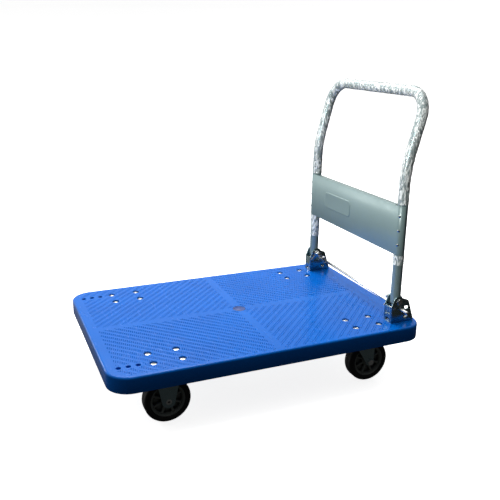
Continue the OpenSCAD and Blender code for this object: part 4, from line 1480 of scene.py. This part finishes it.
@dataclass
class Wheel:
    """One wheel: tyre, spoked centre and bearing sleeve."""

    shop: Workshop
    corner: Corner
    rim_r: float = 47 * MM
    hub_r: float = 15 * MM
    spokes: int = 8

    def __post_init__(self) -> None:
        """Reads the wheel's place and size."""
        low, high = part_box(f"tyre_{self.corner.word}")
        self.middle = (low + high) / 2
        self.radius = (high.z - low.z) / 2
        self.half = (high.y - low.y) / 2
        self.place = Matrix.Translation(self.middle) @ Matrix.Rotation(math.pi / 2, 4, "X")
        self.body = f"wheel_{self.corner.word}"

    def build_tyre(self) -> None:
        """The moulded tyre, with shoulders, side beads and a parting line."""
        h, r, shoulder = self.half, self.radius, 7 * MM
        side = [(self.rim_r, h - 2 * MM), (self.rim_r + 1.2 * MM, h - 0.6 * MM),
                (self.rim_r + 2.2 * MM, h - 0.1 * MM),
                (r - shoulder - 1.6 * MM, h - 0.1 * MM), (r - shoulder - 1.1 * MM, h - 0.7 * MM),
                (r - shoulder - 0.6 * MM, h - 0.1 * MM)]
        round_off = [(r - shoulder + shoulder * math.cos(a), h - shoulder + shoulder * math.sin(a))
                     for a in (math.radians(90 - 9 * i) for i in range(0, 11))]
        line = [(r, 0.5 * MM), (r - 0.25 * MM, 0.25 * MM)]
        half_profile = side + round_off + line
        profile = half_profile + [(x, -y) for x, y in reversed(half_profile)]
        self.shop.build(f"moulded_tyre_{self.corner.word}", lathe(profile, 120, self.place), self.body,
                        "tyre_rubber", f"tyre_{self.corner.word}", angle=30)

    def window(self, index: int) -> list[tuple[float, float]]:
        """One rounded triangular opening between two spokes."""
        pitch = TAU / self.spokes
        middle = (index + 0.5) * pitch + pitch / 2
        inner, outer, half_spoke = self.hub_r + 2.5 * MM, self.rim_r - 7.5 * MM, 3.0 * MM
        spread_in = pitch / 2 - half_spoke / inner
        spread_out = pitch / 2 - half_spoke / outer
        corners = [(inner, -max(spread_in, 0.05)), (outer, -spread_out), (outer * 1.02, 0.0),
                   (outer, spread_out),
                   (inner, max(spread_in, 0.05))]
        points = [(r * math.cos(middle + a), r * math.sin(middle + a)) for r, a in corners]
        return rounded(points, [0.8 * MM, 3.2 * MM, 60 * MM, 3.2 * MM, 0.8 * MM], 5)

    def build_core(self) -> None:
        """The centre: a rim, a hub and a web with triangular windows."""
        mesh = bmesh.new()
        h, r = self.half - 2 * MM, self.rim_r - 0.1 * MM
        for side in (-1, 1):
            flip = Matrix.Scale(side, 4, (0, 0, 1))
            lathe([(r, 0.0), (r, h - 0.6 * MM), (r - 0.6 * MM, h), (r - 2.4 * MM, h),
                   (r - 3.2 * MM, h - 1.2 * MM),
                   (r - 6 * MM, h - 2.6 * MM), (r - 6 * MM, 0.0)], 96, self.place @ flip, False, mesh)
            lathe([(8.05 * MM, 0.0), (8.05 * MM, 19 * MM), (12.4 * MM, 19 * MM),
                   (self.hub_r - 1.2 * MM, 18.4 * MM),
                   (self.hub_r - 0.4 * MM, 16 * MM), (self.hub_r + 1.4 * MM, 11.5 * MM),
                   (self.hub_r + 1.6 * MM, 0.0)],
                  72, self.place @ flip, False, mesh)
        bmesh.ops.remove_doubles(mesh, verts=mesh.verts, dist=1e-6)
        web_half = 11 * MM
        windows = [self.window(i) for i in range(self.spokes)]
        disc = plate("web_disc_work", circle(0, 0, r - 3 * MM, 96),
                     [circle(0, 0, self.hub_r - MM, 64), *windows],
                     2 * web_half, self.place @ Matrix.Translation((0, 0, -web_half)), 1.3 * MM)
        mesh.from_mesh(disc.data)
        bpy.data.objects.remove(disc)
        thin = 2 * MM
        lathe([(self.hub_r - 2 * MM, -thin), (r - 4 * MM, -thin), (r - 4 * MM, thin),
               (self.hub_r - 2 * MM, thin)],
              72, self.place, True, mesh)
        word = self.corner.word
        self.shop.build(f"spoked_centre_{word}", mesh, self.body, "core_plastic", f"core_{word}", angle=35)

    def build_bush(self) -> None:
        """The bearing sleeve on the axle."""
        half = 20.5 * MM
        mesh = lathe([(5.05 * MM, -half), (7.6 * MM, -half), (8 * MM, -half + 0.4 * MM),
                      (8 * MM, half - 0.4 * MM),
                      (7.6 * MM, half), (5.05 * MM, half)], 40, self.place)
        word = self.corner.word
        self.shop.build(f"bearing_sleeve_{word}", mesh, self.body, "bush_metal", f"bush_{word}")

    def build(self) -> None:
        """Builds the whole wheel."""
        self.build_tyre()
        self.build_core()
        self.build_bush()


@dataclass
class Caster:
    """One caster's steelwork: top plate, fork, bolts, axle, and the raceway if it swivels."""

    shop: Workshop
    corner: Corner
    plate: tuple[float, float, float] = (105 * MM, 85 * MM, 3.5 * MM)
    plate_z: float = 156 * MM
    bolt_gap: tuple[float, float] = (38 * MM, 29 * MM)
    bolt_seat: float = 176.5 * MM
    leg: tuple[float, float] = (21 * MM, 3.5 * MM)
    crown: tuple[float, float] = (142.3 * MM, 5 * MM)
    trail: float = 20 * MM

    def __post_init__(self) -> None:
        """Reads where the caster stands."""
        word = self.corner.word
        self.axle = centre(f"tyre_{word}")
        self.x = self.axle.x - (self.trail if self.corner.swivels else 0.0)
        self.y = self.axle.y
        self.body = f"swivel_{self.corner.side.word}" if self.corner.swivels else "chassis"

    def top_plate(self) -> bmesh.types.BMesh:
        """The bolted plate with its four holes."""
        length, width, t = self.plate
        holes = [circle(sx * self.bolt_gap[0], sy * self.bolt_gap[1], 4.5 * MM, 32) for sx in (-1, 1)
                 for sy in (-1, 1)]
        if self.corner.swivels:
            holes.append(circle(0, 0, 6.05 * MM))
        outline = rounded([(length / 2, width / 2), (-length / 2, width / 2), (-length / 2, -width / 2),
                           (length / 2, -width / 2)], 9 * MM, 8)
        piece = plate("plate_work", outline, holes, t,
                      Matrix.Translation((self.x, self.y, self.plate_z - t)), 0.5 * MM)
        mesh = bmesh.new()
        mesh.from_mesh(piece.data)
        bpy.data.objects.remove(piece)
        return mesh

    def leg_outline(self) -> list[tuple[float, float]]:
        """One fork leg in X and Z, tapering to its foot round the axle."""
        z = self.axle.z
        x = self.axle.x
        if self.corner.swivels:
            top, foot = self.crown[0] - self.crown[1] + 0.2 * MM, 12.5 * MM
            left, right = self.x - 34 * MM, self.x + 34 * MM
            return ([(left, top), (left, top - 11 * MM), (left + 3 * MM, top - 15 * MM)]
                    + arc(x, z, foot, 190, 370, 26) + [(right, top - 3 * MM), (right, top)])
        top, foot = self.plate_z - self.plate[2] - 0.2 * MM, 18 * MM
        return ([(x - 28 * MM, top), (x - 28 * MM, z + 46 * MM)] + arc(x, z, foot, 178, 362, 30)
                + [(x + 28 * MM, z + 46 * MM), (x + 28 * MM, top)])

    def add_legs(self, mesh: bmesh.types.BMesh) -> None:
        """Both fork legs, flat plates with a hole for the axle."""
        inner, t = self.leg
        for side in (-1, 1):
            y = self.y + (inner if side > 0 else -inner - t)
            stand = Matrix.Translation((0, y, 0)) @ Matrix(
                ((1, 0, 0, 0), (0, 0, 1, 0), (0, 1, 0, 0), (0, 0, 0, 1)))
            leg = plate("leg_work", self.leg_outline(), [circle(self.axle.x, self.axle.z, 5.05 * MM)],
                        t, stand, 0.5 * MM)
            mesh.from_mesh(leg.data)
            bpy.data.objects.remove(leg)

    def build_rigid(self) -> None:
        """The fixed fork: top plate with two legs bent from it."""
        mesh = self.top_plate()
        self.add_legs(mesh)
        self.add_folds(mesh, self.plate_z - self.plate[2], 28 * MM, self.x)
        word = self.corner.side.word
        self.shop.build(f"fixed_fork_{word}", mesh, "chassis", "zinc_sheet", f"rigid_fork_{word}", angle=45)

    def add_folds(self, mesh: bmesh.types.BMesh, z: float, half: float, x: float) -> None:
        """The rounded inside corners where the legs meet the plate or crown."""
        inner = self.leg[0]
        for side in (-1, 1):
            y = self.y + side * (inner - 0.2 * MM)
            line = [(0.0, 0.0), (-side * 3 * MM, 0.0), (-side * 0.9 * MM, -0.9 * MM), (0.0, -3 * MM)]
            a = [mesh.verts.new((x - half + MM, y + dy, z + 0.2 * MM + dz)) for dy, dz in line]
            b = [mesh.verts.new((x + half - MM, y + dy, z + 0.2 * MM + dz)) for dy, dz in line]
            for i in range(4):
                j = (i + 1) % 4
                mesh.faces.new((a[i], a[j], b[j], b[i]))
            mesh.faces.new(a[::-1])
            mesh.faces.new(b)

    def build_swivel(self) -> None:
        """The turning fork, the plate with its raceway, balls and kingpin."""
        word = self.corner.side.word
        plate_mesh = self.top_plate()
        here = Matrix.Translation((self.x, self.y, 0))
        under = self.plate_z - self.plate[2]
        lathe([(6.05 * MM, under + 0.1 * MM), (6.05 * MM, 148.5 * MM), (36 * MM, 148.5 * MM),
               (36 * MM, 143.3 * MM),
               (36.3 * MM, 143 * MM), (37.6 * MM, 143 * MM), (38 * MM, 143.5 * MM), (38 * MM, 149 * MM),
               (36.6 * MM, 151.4 * MM), (34 * MM, under + 0.1 * MM)], 80, here, True, plate_mesh)
        self.shop.build(f"race_plate_{word}", plate_mesh, "chassis", "zinc_sheet",
                        f"swivel_plate_{word}", angle=40)
        fork = bmesh.new()
        top, t = self.crown
        lathe([(6.05 * MM, top), (6.05 * MM, top - t), (34.4 * MM, top - t), (35 * MM, top - t + 0.6 * MM),
               (35 * MM, top - 0.6 * MM), (34.4 * MM, top)], 80, here, True, fork)
        bridge = plate("crown_work", rounded([(34 * MM, 24.3 * MM), (-34 * MM, 24.3 * MM),
                                              (-34 * MM, -24.3 * MM),
                                              (34 * MM, -24.3 * MM)], 3 * MM), [circle(0, 0, 6.2 * MM)],
                                              t - 0.1 * MM,
                       Matrix.Translation((self.x, self.y, top - t + 0.05 * MM)), 0.6 * MM)
        fork.from_mesh(bridge.data)
        bpy.data.objects.remove(bridge)
        self.add_legs(fork)
        self.add_folds(fork, top - t, 30 * MM, self.x)
        self.shop.build(f"turning_fork_{word}", fork, self.body, "zinc_sheet", f"swivel_fork_{word}",
                        angle=45)
        self.build_race(here, word)

    def build_race(self, here: Matrix, word: str) -> None:
        """The raceway's balls and the kingpin."""
        balls = bmesh.new()
        ball = 3 * MM
        for i in range(16):
            a = TAU * i / 16
            spot = here @ Matrix.Translation((30 * MM * math.cos(a), 30 * MM * math.sin(a),
                                              self.crown[0] + 0.1 * MM + ball))
            bmesh.ops.create_icosphere(balls, subdivisions=2, radius=ball * 0.99, matrix=spot)
        last = self.corner.side is Side.RIGHT
        self.shop.build(f"race_balls_{word}", balls, "chassis", "ball_steel",
                        *(("swivel_balls",) if last else ()),
                        angle=80)
        pin = bmesh.new()
        under = self.crown[0] - self.crown[1] - 0.1 * MM
        shaft(pin, here, 6 * MM, under - 8 * MM, self.plate_z - 0.6 * MM)
        hex_head(pin, here @ Matrix.Translation((0, 0, under)) @ Matrix.Rotation(math.pi, 4, "X"),
                 18 * MM, 6 * MM)
        self.shop.build(f"kingpin_{word}", pin, "chassis", "zinc_hardware", *(("kingpins",) if last else ()))

    def build_axle(self) -> None:
        """A riveted hollow axle in a fixed fork, or a bolt and nut in a turning one."""
        word = self.corner.side.word
        out = self.leg[0] + self.leg[1]
        if not self.corner.swivels:
            half = out + 2.4 * MM
            place = Matrix.Translation(self.axle) @ Matrix.Rotation(math.pi / 2, 4, "X")
            end = [(2.7 * MM, half - 2.2 * MM), (3.4 * MM, half - 0.5 * MM), (4.6 * MM, half),
                   (6.6 * MM, half - 0.3 * MM),
                   (7.8 * MM, half - 1.3 * MM), (8 * MM, out + 0.1 * MM), (5 * MM, out + 0.1 * MM)]
            profile = [(2.7 * MM, 0.0)] + end + [(5 * MM, 0.0)]
            mesh = bmesh.new()
            lathe(profile, 40, place, False, mesh)
            lathe(profile, 40, place @ Matrix.Scale(-1, 4, (0, 0, 1)), False, mesh)
            bmesh.ops.remove_doubles(mesh, verts=mesh.verts, dist=1e-6)
            last = self.corner.side is Side.RIGHT
            self.shop.build(f"riveted_axle_{word}", mesh, "chassis", "zinc_hardware",
                            *(("rigid_axles",) if last else ()))
            return
        bolt, nut = bmesh.new(), bmesh.new()
        x, z = self.axle.x, self.axle.z
        hex_head(bolt, turned(x, self.y - out, z, "-Y"), 16 * MM, 6.3 * MM, True, 14.0)
        shaft(bolt, turned(x, self.y - out, z, "-Y"), 5 * MM, -2 * out - 11 * MM, 0.0,
              (-2 * out - 11 * MM, -2 * out + 3 * MM))
        hex_head(nut, turned(x, self.y + out + 0.02 * MM, z, "Y"), 16 * MM, 8 * MM, True, 33.0)
        self.shop.build(f"axle_bolt_{word}", bolt, self.body, "zinc_hardware", f"swivel_axle_{word}")
        self.shop.build(f"axle_locknut_{word}", nut, self.body, "zinc_hardware", f"axle_nut_{word}")

    def build_bolts(self) -> None:
        """The four plate bolts with washers and nuts."""
        mesh = bmesh.new()
        under = self.plate_z - self.plate[2]
        for k, (sx, sy) in enumerate(((-1, -1), (-1, 1), (1, -1), (1, 1))):
            x, y = self.x + sx * self.bolt_gap[0], self.y + sy * self.bolt_gap[1]
            spin = 13.0 * k + (7.0 if self.corner.swivels else 0.0)
            ring_plate(mesh, turned(x, y, self.bolt_seat), 4.2 * MM, 9 * MM, 1.6 * MM)
            self.add_button(mesh, turned(x, y, self.bolt_seat + 1.6 * MM), spin)
            shaft(mesh, turned(x, y, 0), 4 * MM, under - 8.5 * MM, self.bolt_seat + 1.6 * MM,
                  (under - 8.5 * MM, under))
            hex_head(mesh, turned(x, y, under, "-Z"), 13 * MM, 6.5 * MM, True, spin + 21)
        last = self.corner is Corner.SWIVEL_RIGHT
        self.shop.build(f"plate_bolts_{self.corner.word}", mesh, "chassis", "zinc_hardware",
                        *(("caster_bolts", "caster_washers", "caster_nuts") if last else ()))

    def add_button(self, mesh: bmesh.types.BMesh, place: Matrix, spin: float) -> None:
        """A low round bolt head with a hexagonal socket."""
        r, height, socket, floor = 8.5 * MM, 3 * MM, 2.9 * MM, 1.2 * MM
        dome = [(r * math.cos(math.radians(a)), 1.0 * MM + (height - MM) * math.sin(math.radians(a)))
                for a in (0, 15, 30, 43, 55, 64)]
        lathe([(0.0, 0.0), (r - 0.3 * MM, 0.0), (r, 0.3 * MM)] + dome
              + [(socket + 0.5 * MM, height), (socket, height - 0.4 * MM)], 48, place, False, mesh)
        top = place @ Matrix.Translation((0, 0,
                                          height - 0.4 * MM)) @ Matrix.Rotation(math.radians(spin), 4, "Z")
        ring = [(socket * math.cos(math.tau * i / 6), socket * math.sin(math.tau * i / 6)) for i in range(6)]
        rim = [mesh.verts.new(top @ Vector((x, y, 0))) for x, y in ring]
        foot = [mesh.verts.new(top @ Vector((x, y, floor - height))) for x, y in ring]
        for i in range(6):
            j = (i + 1) % 6
            mesh.faces.new((rim[i], rim[j], foot[j], foot[i]))
        mesh.faces.new(foot)

    def build(self) -> None:
        """Builds the caster's steelwork."""
        if self.corner.swivels:
            self.build_swivel()
        else:
            self.build_rigid()
        self.build_axle()
        self.build_bolts()


# ---------------------------------------------------------------- studio


@dataclass
class Studio:
    """Camera, pale floor and soft lights."""

    eye: Point = (-0.7007, -1.7037, 0.9454)
    yaw: float = math.radians(23.30)
    pitch: float = math.radians(17.42)
    roll: float = math.radians(0.756)
    focal: float = 47.58
    sensor: float = 36.0
    lights: tuple = (
        ("high_back", (0.1, 1.6, 2.4), (0.0, 0.1, 0.15), 1.8, 52.0, (1.0, 1.0, 1.0)),
        ("top_soft", (0.2, 0.3, 2.9), (0.0, 0.0, 0.1), 2.2, 26.0, (1.0, 1.0, 1.0)),
        ("left_strip", (-1.75, 2.6, 1.05), (-0.45, 0.0, 0.2), 0.5, 11.0, (0.97, 1.0, 0.99)),
    )

    handle_fill: tuple = ("handle_fill", (-2.1, -1.1, 1.2), (0.4, 0.0, 0.55), 0.9, 66.0,
                          (1.0, 1.0, 0.98))

    def camera(self) -> None:
        """The camera, at the height of a standing person's chest."""
        data = bpy.data.cameras.new("camera")
        data.lens, data.sensor_width = self.focal, self.sensor
        camera = bpy.data.objects.new("camera", data)
        forward = Vector((math.sin(self.yaw) * math.cos(self.pitch),
                          math.cos(self.yaw) * math.cos(self.pitch),
                          -math.sin(self.pitch)))
        level = Vector((math.cos(self.yaw), -math.sin(self.yaw), 0.0))
        upright = level.cross(forward)
        right = level * math.cos(self.roll) + upright * math.sin(self.roll)
        up = upright * math.cos(self.roll) - level * math.sin(self.roll)
        rotation = Matrix((right, up, -forward)).transposed().to_4x4()
        camera.matrix_world = Matrix.Translation(self.eye) @ rotation
        bpy.context.scene.collection.objects.link(camera)
        bpy.context.scene.camera = camera

    def floor(self) -> None:
        """A pale round floor that curves up into a backdrop all the way round."""
        reach, curve, height = 6.0, 2.0, 8.0
        bend = [(reach + curve * math.sin(math.radians(a)), curve * (1 - math.cos(math.radians(a))))
                for a in range(0, 91, 6)]
        mesh = lathe([(0.0, 0.0), *bend, (reach + curve, height)], 96, Matrix(), False)
        floor = as_object("floor", mesh, 60)
        if floor.data.polygons[0].normal.z < 0:
            floor.data.flip_normals()
        m = NodeTree("pale_floor")
        m.feed("Base Color", m.mix(m.noise(1.5, 2.0), (0.93, 0.93, 0.93), (0.95, 0.95, 0.95)))
        m.fix(Roughness=0.9, Emission_Strength=0.86)
        m.surface.inputs["Emission Color"].default_value = (1, 1, 1, 1)
        behind = m.add("ShaderNodeNewGeometry").outputs["Backfacing"]
        m.feed("Alpha", m.spread(behind, 1, 0, 0.0, 1.0))
        floor.data.materials.append(m.material)
        floor.visible_diffuse = False
        floor.visible_glossy = False
        floor.visible_shadow = False

    def light(self) -> None:
        """Soft area lights and a bright even surround."""
        for entry in self.lights:
            self.add_lamp(*entry)
        self.surround()

    def add_lamp(self, name: str, place: Point, aim: Point, size: float, power: float,
                 tint: Point) -> bpy.types.Object:
        """A round area light at one place, aimed at another."""
        data = bpy.data.lights.new(name, "AREA")
        data.shape, data.size, data.energy, data.color = "DISK", size, power, tint
        lamp = bpy.data.objects.new(name, data)
        turn = (Vector(aim) - Vector(place)).to_track_quat("-Z", "Y").to_matrix().to_4x4()
        lamp.matrix_world = Matrix.Translation(place) @ turn
        bpy.context.scene.collection.objects.link(lamp)
        return lamp

    def fill(self, pieces: Iterable[bpy.types.Object]) -> None:
        """A soft light from the front left that reaches only the given pieces."""
        group = bpy.data.collections.new("handle_fill_receivers")
        for piece in pieces:
            group.objects.link(piece)
        self.add_lamp(*self.handle_fill).light_linking.receiver_collection = group

    def surround(self) -> None:
        """A surround that is bright above and behind the cart and dim in front of it."""
        world = bpy.data.worlds.new("surround")
        world.use_nodes = True
        tree = world.node_tree
        background = tree.nodes["Background"]
        place = tree.nodes.new("ShaderNodeTexCoord")
        toward = tree.nodes.new("ShaderNodeVectorMath")
        toward.operation = "DOT_PRODUCT"
        toward.inputs[1].default_value = Vector((-0.08, 0.62, 0.76)).normalized()
        ramp = tree.nodes.new("ShaderNodeMapRange")
        ramp.interpolation_type = "SMOOTHSTEP"
        ramp.inputs["From Min"].default_value = 0.0
        ramp.inputs["From Max"].default_value = 0.9
        ramp.inputs["To Min"].default_value = 0.03
        ramp.inputs["To Max"].default_value = 0.9
        tree.links.new(place.outputs["Generated"], toward.inputs[0])
        tree.links.new(toward.outputs["Value"], ramp.inputs["Value"])
        tree.links.new(ramp.outputs["Result"], background.inputs["Strength"])
        background.inputs["Color"].default_value = (1, 1, 1, 1)
        bpy.context.scene.world = world
        bpy.context.scene.view_settings.view_transform = "Standard"

    def build(self) -> None:
        """Sets up the whole studio."""
        self.camera()
        self.floor()
        self.light()


def main() -> None:
    """Builds the cart's looks piece by piece."""
    logging.basicConfig(level=logging.INFO, format="%(message)s")
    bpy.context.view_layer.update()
    studio = Studio()
    studio.build()
    shop = Workshop(Finish())
    Deck(shop).build()
    for side in Side:
        Hinge(shop, side).build()
    LockBar(shop).build()
    Handle(shop).build()
    studio.fill(shop.by_slot["film"] + shop.by_slot["tube_steel"] + shop.by_slot["panel_paint"])
    for corner in Corner:
        Caster(shop, corner).build()
        Wheel(shop, corner).build()
    LOG.info("%d pieces", shop.count)


if __name__ == "__main__":
    main()
